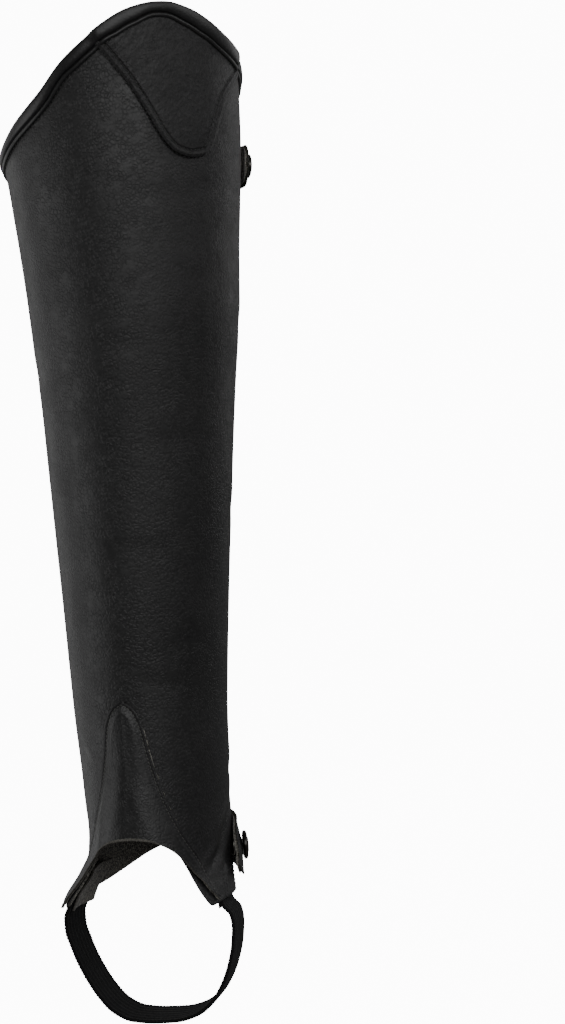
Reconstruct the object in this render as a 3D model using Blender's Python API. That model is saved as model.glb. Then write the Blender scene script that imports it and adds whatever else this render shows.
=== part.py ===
"""Half chap for the left leg: a leather gaiter from below the knee to the ankle.

The leg's form is a stack of egg-shaped levels. Every piece is a wall laid on that form: a place on it
is an azimuth (0 at the shin, positive towards the outer side), a height, and a distance out from the
shell's inner face. Sizes are millimetres here and become metres when a mesh is made.

Frame: +Z up the leg, -Y the front of the shin, +X the outer side. The origin is on the leg's axis at
the calf, where the leg holds the piece up.
"""
import math
from typing import Callable, NamedTuple

import bmesh
import bpy
from mathutils import Vector

MM = 0.001

# Walls and gaps
LEATHER = 1.6
SEAM_GAP = 0.35
TONGUE_GAP = 0.5
PATCH_LEATHER = 1.1
TONGUE_LEATHER = 1.4
TAB_LEATHER = 2.0
BINDING_SKIN = 1.15
WEB_THICK = 1.5
WEB_WIDTH = 25.0


class Level(NamedTuple):
    """The leg's form at one height, as the shell's inner face."""
    height: float
    half_width: float
    front: float
    back: float
    widest: float
    side: float


LEVELS = [
    Level(height=130, half_width=58.4, front=62.0, back=61.5, widest=0.0, side=-0.6),
    Level(height=60, half_width=58.0, front=62.0, back=62.5, widest=0.0, side=-0.6),
    Level(height=25, half_width=55.1, front=60.5, back=61.0, widest=0.0, side=0.3),
    Level(height=0, half_width=52.7, front=58.5, back=59.5, widest=0.0, side=0.9),
    Level(height=-35, half_width=50.0, front=56.5, back=57.5, widest=0.0, side=1.7),
    Level(height=-75, half_width=46.2, front=53.5, back=54.5, widest=0.0, side=1.1),
    Level(height=-115, half_width=43.3, front=51.0, back=52.0, widest=0.0, side=0.4),
    Level(height=-175, half_width=39.1, front=48.5, back=48.5, widest=0.0, side=-0.5),
    Level(height=-225, half_width=36.0, front=46.5, back=46.5, widest=0.0, side=-0.9),
    Level(height=-255, half_width=34.3, front=47.0, back=45.8, widest=0.0, side=0.0),
    Level(height=-275, half_width=33.2, front=48.5, back=45.0, widest=0.0, side=0.5),
    Level(height=-285, half_width=32.6, front=49.6, back=44.6, widest=-1.0, side=1.1),
    Level(height=-297, half_width=32.5, front=51.0, back=44.2, widest=-3.5, side=1.3),
    Level(height=-308, half_width=34.6, front=52.5, back=43.5, widest=-11.0, side=0.2),
    Level(height=-318, half_width=38.3, front=54.0, back=42.5, widest=-20.0, side=-0.8),
    Level(height=-328, half_width=41.0, front=55.0, back=41.5, widest=-26.0, side=-1.0),
    Level(height=-340, half_width=42.0, front=56.0, back=41.0, widest=-28.0, side=-1.0),
]


class TopEdge(NamedTuple):
    """The rolled top edge at one azimuth: its crest, and how far down the roll reaches outside."""
    azimuth: float
    crest: float
    roll: float


TOP_EDGE = [
    TopEdge(azimuth=-90, crest=44, roll=7.0),
    TopEdge(azimuth=-68, crest=47.5, roll=6.8),
    TopEdge(azimuth=-53, crest=52, roll=7.2),
    TopEdge(azimuth=-35, crest=62, roll=10.0),
    TopEdge(azimuth=-20, crest=72.5, roll=11.2),
    TopEdge(azimuth=-8, crest=85, roll=11.2),
    TopEdge(azimuth=4, crest=95, roll=11.0),
    TopEdge(azimuth=13, crest=102, roll=11.2),
    TopEdge(azimuth=24, crest=108, roll=9.8),
    TopEdge(azimuth=35, crest=110.9, roll=7.7),
    TopEdge(azimuth=41, crest=111.3, roll=8.0),
    TopEdge(azimuth=52, crest=109.2, roll=9.9),
    TopEdge(azimuth=62, crest=105.4, roll=11.0),
    TopEdge(azimuth=73, crest=100.2, roll=10.8),
    TopEdge(azimuth=86, crest=95.2, roll=10.6),
    TopEdge(azimuth=104, crest=88.4, roll=9.0),
    TopEdge(azimuth=125, crest=79.5, roll=7.5),
    TopEdge(azimuth=150, crest=69, roll=7.0),
    TopEdge(azimuth=180, crest=58, roll=7.0),
    TopEdge(azimuth=215, crest=48, roll=7.0),
    TopEdge(azimuth=245, crest=44.5, roll=7.0),
]


class Edge(NamedTuple):
    """A cut edge at one azimuth."""
    azimuth: float
    height: float


SHELL_HEM = [
    Edge(azimuth=0, height=-231),
    Edge(azimuth=4, height=-233),
    Edge(azimuth=8, height=-240),
    Edge(azimuth=11, height=-251),
    Edge(azimuth=15, height=-265),
    Edge(azimuth=22, height=-278.5),
    Edge(azimuth=32, height=-290.5),
    Edge(azimuth=43, height=-301.2),
    Edge(azimuth=48.5, height=-306.6),
    Edge(azimuth=54, height=-312.8),
    Edge(azimuth=60, height=-319),
    Edge(azimuth=66.5, height=-323),
    Edge(azimuth=74, height=-322.4),
    Edge(azimuth=90, height=-321),
    Edge(azimuth=108, height=-320.4),
    Edge(azimuth=124, height=-317.5),
    Edge(azimuth=136, height=-313.3),
    Edge(azimuth=152, height=-306.8),
    Edge(azimuth=166, height=-303.3),
    Edge(azimuth=180, height=-302.3),
]

TONGUE_SEAM = [
    Edge(azimuth=0, height=-221.8),
    Edge(azimuth=5, height=-223.5),
    Edge(azimuth=9, height=-226.3),
    Edge(azimuth=14, height=-234.5),
    Edge(azimuth=17, height=-245.5),
    Edge(azimuth=22, height=-259),
    Edge(azimuth=29, height=-273),
    Edge(azimuth=39.5, height=-287.4),
    Edge(azimuth=53, height=-300.4),
    Edge(azimuth=64, height=-311.7),
    Edge(azimuth=71.5, height=-319),
]

TONGUE_HEM = [
    Edge(azimuth=0, height=-288.7),
    Edge(azimuth=14, height=-289.8),
    Edge(azimuth=24, height=-292.6),
    Edge(azimuth=33.5, height=-297),
    Edge(azimuth=45, height=-304.8),
    Edge(azimuth=55, height=-311.6),
    Edge(azimuth=64, height=-317.6),
    Edge(azimuth=71.5, height=-321.8),
]
INNER_CORNER_DROP = 2.6
INNER_SAG = 3.5
SAG_START = 20.0
DROP_START = 30.0

PATCH_SEAM = [
    Edge(azimuth=8, height=92),
    Edge(azimuth=10.5, height=88.6),
    Edge(azimuth=14.1, height=83.5),
    Edge(azimuth=17.7, height=78.4),
    Edge(azimuth=22.6, height=71.1),
    Edge(azimuth=26.5, height=64.4),
    Edge(azimuth=30.4, height=57.3),
    Edge(azimuth=33.6, height=51.2),
    Edge(azimuth=36.6, height=46.3),
    Edge(azimuth=39.8, height=42.2),
    Edge(azimuth=44, height=39),
    Edge(azimuth=51.5, height=37.4),
    Edge(azimuth=58.5, height=38.6),
    Edge(azimuth=62.8, height=41.2),
    Edge(azimuth=66.4, height=46.6),
    Edge(azimuth=69.2, height=53.4),
    Edge(azimuth=72.4, height=59.6),
    Edge(azimuth=76.2, height=66.8),
    Edge(azimuth=82.7, height=73.2),
    Edge(azimuth=90.5, height=79.2),
]

# Top binding
CREST_OVER_EDGE = 2.4
BINDING_INSIDE = 6.0
PATCH_FADE = 4.0
COVER_EARLY = 1.2

# Tongue
TONGUE_BULGE = 2.2
BULGE_REACH = 9.0
BULGE_END = 66.0

# Zip
ZIP_AZIMUTH = 140.0
SLIT_HALF = 3.5
SLIT_MARGIN = 4.0
CHAIN_HALF = 2.6
CHAIN_OUT = 1.0
CHAIN_IN = 1.6
TAPE_WIDTH = 12.0
TAPE_THICK = 0.8
TAPE_TOP_CLEAR = 6.0
ZIP_FOOT = 1.5
CHAIN_TOP = 24.0


class Tab(NamedTuple):
    """A snap tab from its sewn root behind the zip to its rounded tip."""
    root_azimuth: float
    tip_azimuth: float
    root_height: float
    tip_height: float
    root_half: float
    tip_half: float
    tip_out: float
    upper_out: float
    snap_back: float
    cap_radius: float


TOP_TAB = Tab(root_azimuth=158, tip_azimuth=110.5, root_height=42, tip_height=42, root_half=12,
              tip_half=10.3, tip_out=1.9, upper_out=1.9, snap_back=10.5, cap_radius=6.2)
BOTTOM_TAB = Tab(root_azimuth=157, tip_azimuth=95, root_height=-293.5, tip_height=-303, root_half=11.5,
                 tip_half=15.5, tip_out=3.4, upper_out=0.6, snap_back=13.5, cap_radius=7.2)
TAB_SEWN_SHARE = 0.3
TAB_FREE_SHARE = 0.8
CAP_HEIGHT = 2.4
STUD_RADIUS = 4.6
STUD_WAIST = 1.1
STUD_CLEAR = 0.2
STUD_LEAST = 0.9


class RollPoint(NamedTuple):
    """A point of the roll: how far out, in thicknesses of its skin, and how deep, as a share of the roll."""
    skins: float
    share: float


ROLL_PROFILE = [
    RollPoint(skins=0.0, share=1.0),
    RollPoint(skins=1.0, share=1.0),
    RollPoint(skins=1.6, share=0.72),
    RollPoint(skins=1.65, share=0.42),
    RollPoint(skins=1.1, share=0.15),
]
ROLL_TOP_AT = 0.6
FLANGE_SHOULDER = 1.0


class TurnPoint(NamedTuple):
    """A point of a turned profile: how far it lies inside the rim, and how high."""
    inset: float
    rise: float


CAP_PROFILE = [
    TurnPoint(inset=0.3, rise=0.0),
    TurnPoint(inset=0.0, rise=0.5),
    TurnPoint(inset=0.0, rise=1.2),
    TurnPoint(inset=0.6, rise=1.8),
    TurnPoint(inset=1.8, rise=2.0),
    TurnPoint(inset=2.3, rise=1.6),
    TurnPoint(inset=3.0, rise=1.6),
    TurnPoint(inset=3.6, rise=CAP_HEIGHT),
]
CAP_CROWN = 0.3

# Slider and pull tab
SLIDER_HEIGHT = 14.0
SLIDER_HEAD = 9.4
SLIDER_FOOT = 6.6
SLIDER_THICK = 2.0
SLIDER_CENTRE = 15.0
BRIDGE_WIDTH = 3.4
EAR_THICK = 1.0
EAR_HALF = 1.7
EAR_OVER_PIN = 1.1
PIN_RADIUS = 0.6
PIN_UP = 3.2
BORE_CLEAR = 0.35
EYE_RADIUS = 1.6
PIN_OUT = SLIDER_THICK + SEAM_GAP + EYE_RADIUS
PULL_LENGTH = 25.0
PULL_WIDTH = 8.0
PULL_THICK = 1.3
PULL_NECK = 5.0
PULL_SHOULDER = 8.5
PULL_CORNER = 2.5


class RoutePoint(NamedTuple):
    """A point on the elastic's middle line below the hem."""
    across: float
    height: float


STRAP_ROUTE = [
    RoutePoint(across=-41.6, height=-329.5),
    RoutePoint(across=-41.4, height=-335),
    RoutePoint(across=-39.2, height=-342.5),
    RoutePoint(across=-36.2, height=-350.5),
    RoutePoint(across=-32.0, height=-358.8),
    RoutePoint(across=-26.6, height=-367.2),
    RoutePoint(across=-19.6, height=-374.6),
    RoutePoint(across=-10.3, height=-378.8),
    RoutePoint(across=0.0, height=-379.6),
    RoutePoint(across=11.0, height=-379.2),
    RoutePoint(across=21.5, height=-376.6),
    RoutePoint(across=29.4, height=-371.2),
    RoutePoint(across=35.4, height=-362.8),
    RoutePoint(across=39.4, height=-353.5),
    RoutePoint(across=42.0, height=-343),
    RoutePoint(across=42.8, height=-334),
    RoutePoint(across=41.8, height=-328),
]
STRAP_AZIMUTH = 96.0
STRAP_SEWN = 13.0
STRAP_CLEAR = 2.0
STRAP_Y = -17.0
STRAP_SPLAY = 4.0
STRAP_TILT = 5.0


def smooth_curve(points: list[tuple[float, float]], period: float = 0.0) -> Callable[[float], float]:
    """A monotone cubic through (place, value) points, which never swings past them."""
    pairs = sorted(points)
    if period:
        pairs = ([(x - period, y) for x, y in pairs] + pairs + [(x + period, y) for x, y in pairs])
    xs = [p[0] for p in pairs]
    ys = [p[1] for p in pairs]
    steps = [b - a for a, b in zip(xs, xs[1:])]
    rises = [(d - c) / h for c, d, h in zip(ys, ys[1:], steps)]
    slopes = [rises[0]]
    for i in range(1, len(xs) - 1):
        if rises[i - 1] * rises[i] <= 0:
            slopes.append(0.0)
            continue
        before = 2 * steps[i] + steps[i - 1]
        after = steps[i] + 2 * steps[i - 1]
        slopes.append((before + after) / (before / rises[i - 1] + after / rises[i]))
    slopes.append(rises[-1])

    def value(x: float) -> float:
        x = min(max(x, xs[0]), xs[-1])
        i = max(i for i in range(len(steps)) if xs[i] <= x)
        t = (x - xs[i]) / steps[i]
        return ((2 * t ** 3 - 3 * t ** 2 + 1) * ys[i] + (t ** 3 - 2 * t ** 2 + t) * steps[i] * slopes[i]
                + (3 * t ** 2 - 2 * t ** 3) * ys[i + 1] + (t ** 3 - t ** 2) * steps[i] * slopes[i + 1])

    return value


def smoothstep(t: float) -> float:
    """0 to 1 with soft ends."""
    t = min(max(t, 0.0), 1.0)
    return t * t * (3 - 2 * t)


def both_sides(edges: list[Edge], drop: float = 0.0, sag: float = 0.0) -> list[tuple[float, float]]:
    """An edge for both sides of the shin, its inner side lower by drop at the corner and by sag before it."""
    last = max(e.azimuth for e in edges if e.azimuth <= 90)
    outer = [(e.azimuth, e.height) for e in edges]
    inner = []
    for e in edges:
        if 0 < e.azimuth < 180:
            down = drop * smoothstep((e.azimuth - DROP_START) / (last - DROP_START))
            share = min(max((e.azimuth - SAG_START) / (last - SAG_START), 0.0), 1.0)
            inner.append((-e.azimuth, e.height - down - sag * math.sin(math.pi * share) ** 2))
    return outer + inner


half_width_at = smooth_curve([(v.height, v.half_width) for v in LEVELS])
front_at = smooth_curve([(v.height, v.front) for v in LEVELS])
back_at = smooth_curve([(v.height, v.back) for v in LEVELS])
widest_at = smooth_curve([(v.height, v.widest) for v in LEVELS])
side_at = smooth_curve([(v.height, v.side) for v in LEVELS])
crest_at = smooth_curve([(v.azimuth, v.crest) for v in TOP_EDGE], 360)
roll_at = smooth_curve([(v.azimuth, v.roll) for v in TOP_EDGE], 360)
hem_at = smooth_curve(both_sides(SHELL_HEM), 360)
tongue_seam_at = smooth_curve(both_sides(TONGUE_SEAM, INNER_CORNER_DROP / 2))
tongue_hem_at = smooth_curve(both_sides(TONGUE_HEM, INNER_CORNER_DROP, INNER_SAG))
patch_seam_at = smooth_curve([(v.azimuth, v.height) for v in PATCH_SEAM])


def on_form(azimuth: float, height: float) -> Vector:
    """A point on the shell's inner face."""
    a = math.radians(azimuth)
    widest = widest_at(height)
    reach = front_at(height) + widest if math.cos(a) > 0 else back_at(height) - widest
    return Vector((side_at(height) + half_width_at(height) * math.sin(a),
                   widest - reach * math.cos(a), height))


def outwards(azimuth: float, height: float) -> Vector:
    """The form's unit normal there."""
    around = on_form(azimuth + 0.2, height) - on_form(azimuth - 0.2, height)
    upwards = on_form(azimuth, height + 0.5) - on_form(azimuth, height - 0.5)
    return around.cross(upwards).normalized()


def place(azimuth: float, height: float, out: float) -> Vector:
    """A point at a distance out from the shell's inner face."""
    return on_form(azimuth, height) + outwards(azimuth, height) * out


def degrees_per_mm(azimuth: float, height: float) -> float:
    """Azimuth that one millimetre round the form takes up."""
    return 1.0 / (on_form(azimuth + 0.5, height) - on_form(azimuth - 0.5, height)).length


def spread(start: float, stop: float, count: int) -> list[float]:
    """Count values from start to stop."""
    return [start + (stop - start) * i / (count - 1) for i in range(count)]


def material(name: str, colour: tuple[float, float, float], roughness: float, metallic: float = 0.0):
    """A plain Principled material."""
    made = bpy.data.materials.new(name)
    made.use_nodes = True
    shader = made.node_tree.nodes["Principled BSDF"]
    shader.inputs["Base Color"].default_value = (*colour, 1.0)
    shader.inputs["Roughness"].default_value = roughness
    shader.inputs["Metallic"].default_value = metallic
    made.diffuse_color = (*colour, 1.0)
    return made


def finish_mesh(name: str, bm: bmesh.types.BMesh, finish, sharp: float = 40.0) -> bpy.types.Object:
    """Turns a bmesh in millimetres into an object in metres, with its faces pointing out."""
    bmesh.ops.scale(bm, vec=(MM, MM, MM), verts=bm.verts)
    bmesh.ops.recalc_face_normals(bm, faces=bm.faces)
    if bm.calc_volume(signed=True) < 0:
        bmesh.ops.reverse_faces(bm, faces=bm.faces)
    mesh = bpy.data.meshes.new(name)
    bm.to_mesh(mesh)
    bm.free()
    mesh.materials.append(finish)
    mesh.shade_smooth()
    mesh.set_sharp_from_angle(angle=math.radians(sharp))
    made = bpy.data.objects.new(name, mesh)
    bpy.context.collection.objects.link(made)
    return made


def loft(name: str, sections: list[list[Vector]], finish, ladder: bool = True) -> bpy.types.Object:
    """A closed solid through closed sections; a ladder's end caps are strips across its wall."""
    bm = bmesh.new()
    rings = [[bm.verts.new(point) for point in section] for section in sections]
    size = len(rings[0])
    for low, high in zip(rings, rings[1:]):
        for i in range(size):
            j = (i + 1) % size
            bm.faces.new((low[i], low[j], high[j], high[i]))
    for ring in (rings[0], rings[-1]):
        if not ladder:
            bm.faces.new(ring)
            continue
        for i in range(size // 2 - 1):
            bm.faces.new((ring[i], ring[i + 1], ring[size - 2 - i], ring[size - 1 - i]))
    bmesh.ops.triangulate(bm, faces=[f for f in bm.faces if len(f.verts) > 4])
    return finish_mesh(name, bm, finish)


def wall_section(azimuths: list[float], heights: list[float], inner: list[float],
                 outer: list[float]) -> list[Vector]:
    """A wall's section: up its outer face and back down its inner one."""
    up = [place(a, h, o) for a, h, o in zip(azimuths, heights, outer)]
    down = [place(a, h, o) for a, h, o in zip(azimuths, heights, inner)]
    return up + down[::-1]


def shell_edge_at(azimuth: float) -> float:
    """The shell's cut top edge, under the binding's crest."""
    return crest_at(azimuth) - CREST_OVER_EDGE


def shell_columns() -> list[float]:
    """Azimuths of the shell's sections, close together round the cut-out and the corners."""
    half = [0, 2, 4, 6, 8, 9.5, 11, 13, 15, 18, 22, 27, 32, 37.5, 43, 48.5, 54, 60, 66.5, 74, 82, 90, 99,
            108, 116, 124]
    outer_back = [131, ZIP_AZIMUTH - SLIT_MARGIN]
    inner_back = [-132, -140, -148, -156, -165, -174, -183, -192, -201, -210,
                  ZIP_AZIMUTH - 360 + SLIT_MARGIN]
    return sorted(half + outer_back + [-a for a in half if a] + inner_back)


def shell_rows() -> list[float]:
    """Shares of the height from hem to top edge, close together at the flared hem."""
    return [0, 0.01, 0.02, 0.03, 0.04, 0.052, 0.066, 0.082, 0.1, 0.13, 0.17, 0.22, 0.28, 0.35, 0.43, 0.52,
            0.61, 0.7, 0.79, 0.87, 0.94, 1]


def beside_slit(azimuth: float, height: float) -> float:
    """Moves an azimuth so that the slit keeps its width at every height."""
    outer_edge = ZIP_AZIMUTH - SLIT_MARGIN
    inner_edge = ZIP_AZIMUTH - 360 + SLIT_MARGIN
    half = SLIT_HALF * degrees_per_mm(ZIP_AZIMUTH, height)
    share = (azimuth - inner_edge) / (outer_edge - inner_edge)
    return ZIP_AZIMUTH - 360 + half + share * (360 - 2 * half)


def make_shell(finish) -> bpy.types.Object:
    """The leg panel, open at the zip's slit."""
    sections = []
    for azimuth in shell_columns():
        low, high = hem_at(azimuth), shell_edge_at(azimuth)
        heights = [low + (high - low) * share for share in shell_rows()]
        azimuths = [beside_slit(azimuth, h) for h in heights]
        count = len(heights)
        sections.append(wall_section(azimuths, heights, [0.0] * count, [LEATHER] * count))
    return loft("shell", sections, finish)


def make_patch(finish) -> bpy.types.Object:
    """The knee patch, its top edge caught in the binding."""
    azimuths = [e.azimuth for e in PATCH_SEAM]
    columns = sorted(azimuths + [(a + b) / 2 for a, b in zip(azimuths, azimuths[1:])])
    sections = []
    inner = LEATHER + SEAM_GAP
    for azimuth in columns:
        heights = spread(patch_seam_at(azimuth), shell_edge_at(azimuth), 9)
        count = len(heights)
        sections.append(wall_section([azimuth] * count, heights, [inner] * count,
                                     [inner + PATCH_LEATHER] * count))
    return loft("knee_patch", sections, finish)


def tongue_lift(azimuth: float, height: float) -> float:
    """How far the tongue bellies out from its stitched margin."""
    slope = (tongue_seam_at(azimuth + 0.5) - tongue_seam_at(azimuth - 0.5)) * degrees_per_mm(azimuth, height)
    inside = (tongue_seam_at(azimuth) - height) / math.hypot(1.0, slope)
    fade = 1.0 - smoothstep((abs(azimuth) - BULGE_END / 2) / (BULGE_END / 2))
    return TONGUE_BULGE * smoothstep(inside / BULGE_REACH) * fade


def make_tongue(finish) -> bpy.types.Object:
    """The ankle overlay, from its pointed seam down to the arched hem."""
    half = [0, 2.5, 5, 7, 9, 11.5, 14, 15.5, 17, 19.5, 22, 25.5, 29, 34, 39.5, 46, 53, 58.5, 64, 68, 71.5]
    columns = sorted(half + [-a for a in half if a])
    sections = []
    for azimuth in columns:
        heights = spread(tongue_hem_at(azimuth), tongue_seam_at(azimuth), 11)
        inner = [LEATHER + TONGUE_GAP + tongue_lift(azimuth, h) for h in heights]
        outer = [o + TONGUE_LEATHER for o in inner]
        sections.append(wall_section([azimuth] * len(heights), heights, inner, outer))
    return loft("tongue", sections, finish)


def cover_at(azimuth: float) -> float:
    """How thick the leather is that the binding wraps: the shell, or the shell with the patch."""
    start, stop = PATCH_SEAM[0].azimuth - COVER_EARLY, PATCH_SEAM[-1].azimuth + COVER_EARLY
    share = smoothstep((azimuth - start + PATCH_FADE) / PATCH_FADE) * smoothstep(
        (stop + PATCH_FADE - azimuth) / PATCH_FADE)
    return LEATHER + share * (SEAM_GAP + PATCH_LEATHER)


def binding_section(azimuth: float) -> list[Vector]:
    """A hook over the top edge: a padded roll outside, a flat flange inside."""
    cover = cover_at(azimuth)
    crest = crest_at(azimuth)
    roll = roll_at(azimuth)
    inside = -SEAM_GAP
    outside = cover + SEAM_GAP
    edge = SEAM_GAP - CREST_OVER_EDGE
    profile = [(outside + p.skins * BINDING_SKIN, -p.share * roll) for p in ROLL_PROFILE] + [
        (ROLL_TOP_AT * cover, 0.0),
        (inside - BINDING_SKIN / 2, edge / 3),
        (inside - BINDING_SKIN, edge - FLANGE_SHOULDER),
        (inside - BINDING_SKIN, -BINDING_INSIDE),
        (inside, -BINDING_INSIDE),
        (inside, edge),
        (outside, edge),
    ]
    return [place(azimuth, crest + rise, out) for out, rise in profile]


def make_binding(finish) -> bpy.types.Object:
    """The roll round the top edge, open at the zip."""
    half = SLIT_HALF * degrees_per_mm(ZIP_AZIMUTH, shell_edge_at(ZIP_AZIMUTH))
    azimuths = spread(ZIP_AZIMUTH - 360 + half, ZIP_AZIMUTH - half, 89)
    return loft("top_binding", [binding_section(a) for a in azimuths], finish, ladder=False)


def beside_zip(across: float, height: float) -> float:
    """The azimuth at a distance from the zip's middle, positive towards the outer side."""
    return ZIP_AZIMUTH - across * degrees_per_mm(ZIP_AZIMUTH, height)


def make_zip_tape(name: str, side: float, finish) -> bpy.types.Object:
    """A woven tape under the leather, from beside the chain outwards."""
    near = CHAIN_HALF + SEAM_GAP
    foot = hem_at(ZIP_AZIMUTH) + ZIP_FOOT
    sections = []
    for across in spread(near, near + TAPE_WIDTH, 5):
        top = shell_edge_at(beside_zip(side * across, CHAIN_TOP)) - TAPE_TOP_CLEAR
        heights = [foot + (top - foot) * share for share in shell_rows()]
        azimuths = [beside_zip(side * across, h) for h in heights]
        count = len(heights)
        sections.append(wall_section(azimuths, heights, [-SEAM_GAP - TAPE_THICK] * count,
                                     [-SEAM_GAP] * count))
    return loft(name, sections, finish)


def make_zip_chain(finish) -> bpy.types.Object:
    """The closed teeth as one plain strip between the two leather edges."""
    foot = hem_at(ZIP_AZIMUTH) + ZIP_FOOT
    heights = [foot + (CHAIN_TOP - foot) * s for s in shell_rows()]
    profile = [(-CHAIN_HALF, CHAIN_OUT - 0.5), (-CHAIN_HALF + 0.6, CHAIN_OUT),
               (CHAIN_HALF - 0.6, CHAIN_OUT), (CHAIN_HALF, CHAIN_OUT - 0.5),
               (CHAIN_HALF, -CHAIN_IN), (-CHAIN_HALF, -CHAIN_IN)]
    sections = [[place(beside_zip(across, h), h, out) for across, out in profile] for h in heights]
    return loft("zip_chain", sections, finish, ladder=False)


def tab_length(tab: Tab) -> float:
    """A tab's length along the form."""
    mid = (tab.root_azimuth + tab.tip_azimuth) / 2
    return (tab.root_azimuth - tab.tip_azimuth) / degrees_per_mm(mid, tab.tip_height)


def tab_point(tab: Tab, along: float, across: float, out: float) -> Vector:
    """A place on a tab: along it from its root, across it upwards, and out of its inner face."""
    share = along / tab_length(tab)
    azimuth = tab.root_azimuth + (tab.tip_azimuth - tab.root_azimuth) * share
    height = tab.root_height + (tab.tip_height - tab.root_height) * share + across
    upper = smoothstep((across / tab.tip_half + 0.1) / 0.9)
    stand = tab.tip_out + (tab.upper_out - tab.tip_out) * upper
    rise = stand * smoothstep((share - TAB_SEWN_SHARE) / (TAB_FREE_SHARE - TAB_SEWN_SHARE))
    return place(azimuth, height, LEATHER + SEAM_GAP + rise + out)


def tab_half(tab: Tab, along: float) -> float:
    """Half of a tab's width, round at its tip."""
    length = tab_length(tab)
    wide = tab.root_half + (tab.tip_half - tab.root_half) * along / length
    past = along - (length - tab.tip_half)
    if past <= 0:
        return wide
    return math.sqrt(max(wide ** 2 - (past * wide / tab.tip_half) ** 2, 0.0))


def make_tab(name: str, tab: Tab, finish) -> bpy.types.Object:
    """A leather tab with a rounded tip."""
    length = tab_length(tab)
    straight = spread(0, length - tab.tip_half, 9)
    turns = [math.radians(a) for a in (15, 30, 43, 55, 66, 76, 84)]
    alongs = straight + [length - tab.tip_half + tab.tip_half * math.sin(t) for t in turns]
    sections = []
    for along in alongs:
        acrosses = spread(-tab_half(tab, along), tab_half(tab, along), 9)
        up = [tab_point(tab, along, v, TAB_LEATHER) for v in acrosses]
        down = [tab_point(tab, along, v, 0.0) for v in acrosses]
        sections.append(up + down[::-1])
    return loft(name, sections, finish)


def tab_frame(tab: Tab) -> tuple[Vector, Vector]:
    """The middle of a tab's outer face at its snap, and the face's normal."""
    along = tab_length(tab) - tab.snap_back
    middle = tab_point(tab, along, 0.0, TAB_LEATHER)
    lengthwise = tab_point(tab, along - 1, 0.0, TAB_LEATHER) - tab_point(tab, along + 1, 0.0, TAB_LEATHER)
    upwards = tab_point(tab, along, 1, TAB_LEATHER) - tab_point(tab, along, -1, TAB_LEATHER)
    return middle, lengthwise.cross(upwards).normalized()


def turned(name: str, profile: list[tuple[float, float]], base: Vector, axis: Vector,
           finish, sides: int = 28) -> bpy.types.Object:
    """A turned piece: (radius, rise) from its foot's middle to its top's middle."""
    bm = bmesh.new()
    line = [bm.verts.new((radius, 0.0, rise)) for radius, rise in profile]
    edges = [bm.edges.new(pair) for pair in zip(line, line[1:])]
    bmesh.ops.spin(bm, geom=line + edges, cent=(0, 0, 0), axis=(0, 0, 1), angle=2 * math.pi,
                   steps=sides, use_merge=True)
    bmesh.ops.remove_doubles(bm, verts=bm.verts, dist=1e-4)
    turn = Vector((0, 0, 1)).rotation_difference(axis).to_matrix()
    bmesh.ops.rotate(bm, verts=bm.verts, cent=(0, 0, 0), matrix=turn)
    bmesh.ops.translate(bm, verts=bm.verts, vec=base)
    return finish_mesh(name, bm, finish)


def make_snap(suffix: str, tab: Tab, cap_finish, stud_finish) -> None:
    """A snap's cap outside its tab and its stud between the tab and the shell."""
    middle, axis = tab_frame(tab)
    r = tab.cap_radius
    cap = [(0, 0)] + [(r - p.inset, p.rise) for p in CAP_PROFILE] + [(0, CAP_HEIGHT + CAP_CROWN)]
    turned(f"snap_cap_{suffix}", cap, middle + axis * SEAM_GAP, axis, cap_finish)
    under = middle - axis * (TAB_LEATHER + SEAM_GAP + STUD_CLEAR)
    share = 1.0 - tab.snap_back / tab_length(tab)
    azimuth = tab.root_azimuth + (tab.tip_azimuth - tab.root_azimuth) * share
    height = tab.root_height + (tab.tip_height - tab.root_height) * share
    seat = place(azimuth, height, LEATHER + SEAM_GAP)
    depth = max((under - seat).dot(axis), STUD_LEAST)
    s = STUD_RADIUS
    waist = s - STUD_WAIST
    stud = [(0, 0), (s - 0.2, 0), (s, 0.2), (s, depth * 0.45), (waist, depth * 0.55), (waist, depth - 0.2),
            (waist - 0.2, depth), (0, depth)]
    turned(f"snap_stud_{suffix}", stud, under - axis * depth, axis, stud_finish, sides=20)


def zip_frame() -> tuple[Vector, Vector, Vector, Vector]:
    """The slider's seat on the zip, and its outward, upward and sideways directions."""
    seat = place(ZIP_AZIMUTH, SLIDER_CENTRE, LEATHER + SEAM_GAP)
    out = outwards(ZIP_AZIMUTH, SLIDER_CENTRE)
    up = (place(ZIP_AZIMUTH, SLIDER_CENTRE + 5, 0) - place(ZIP_AZIMUTH, SLIDER_CENTRE - 5, 0)).normalized()
    side = up.cross(out).normalized()
    return seat, out, up, side


def box_between(bm: bmesh.types.BMesh, origin: Vector, axes: tuple[Vector, Vector, Vector],
                lows: tuple[float, float, float], highs: tuple[float, float, float]) -> list:
    """Adds a box with its sides along three axes; returns its vertices."""
    side, up, out = axes
    made = bmesh.ops.create_cube(bm, size=1.0)["verts"]
    for vert in made:
        x, y, z = (lo if c < 0 else hi for c, lo, hi in zip(vert.co, lows, highs))
        vert.co = origin + side * x + up * y + out * z
    return made


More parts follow.
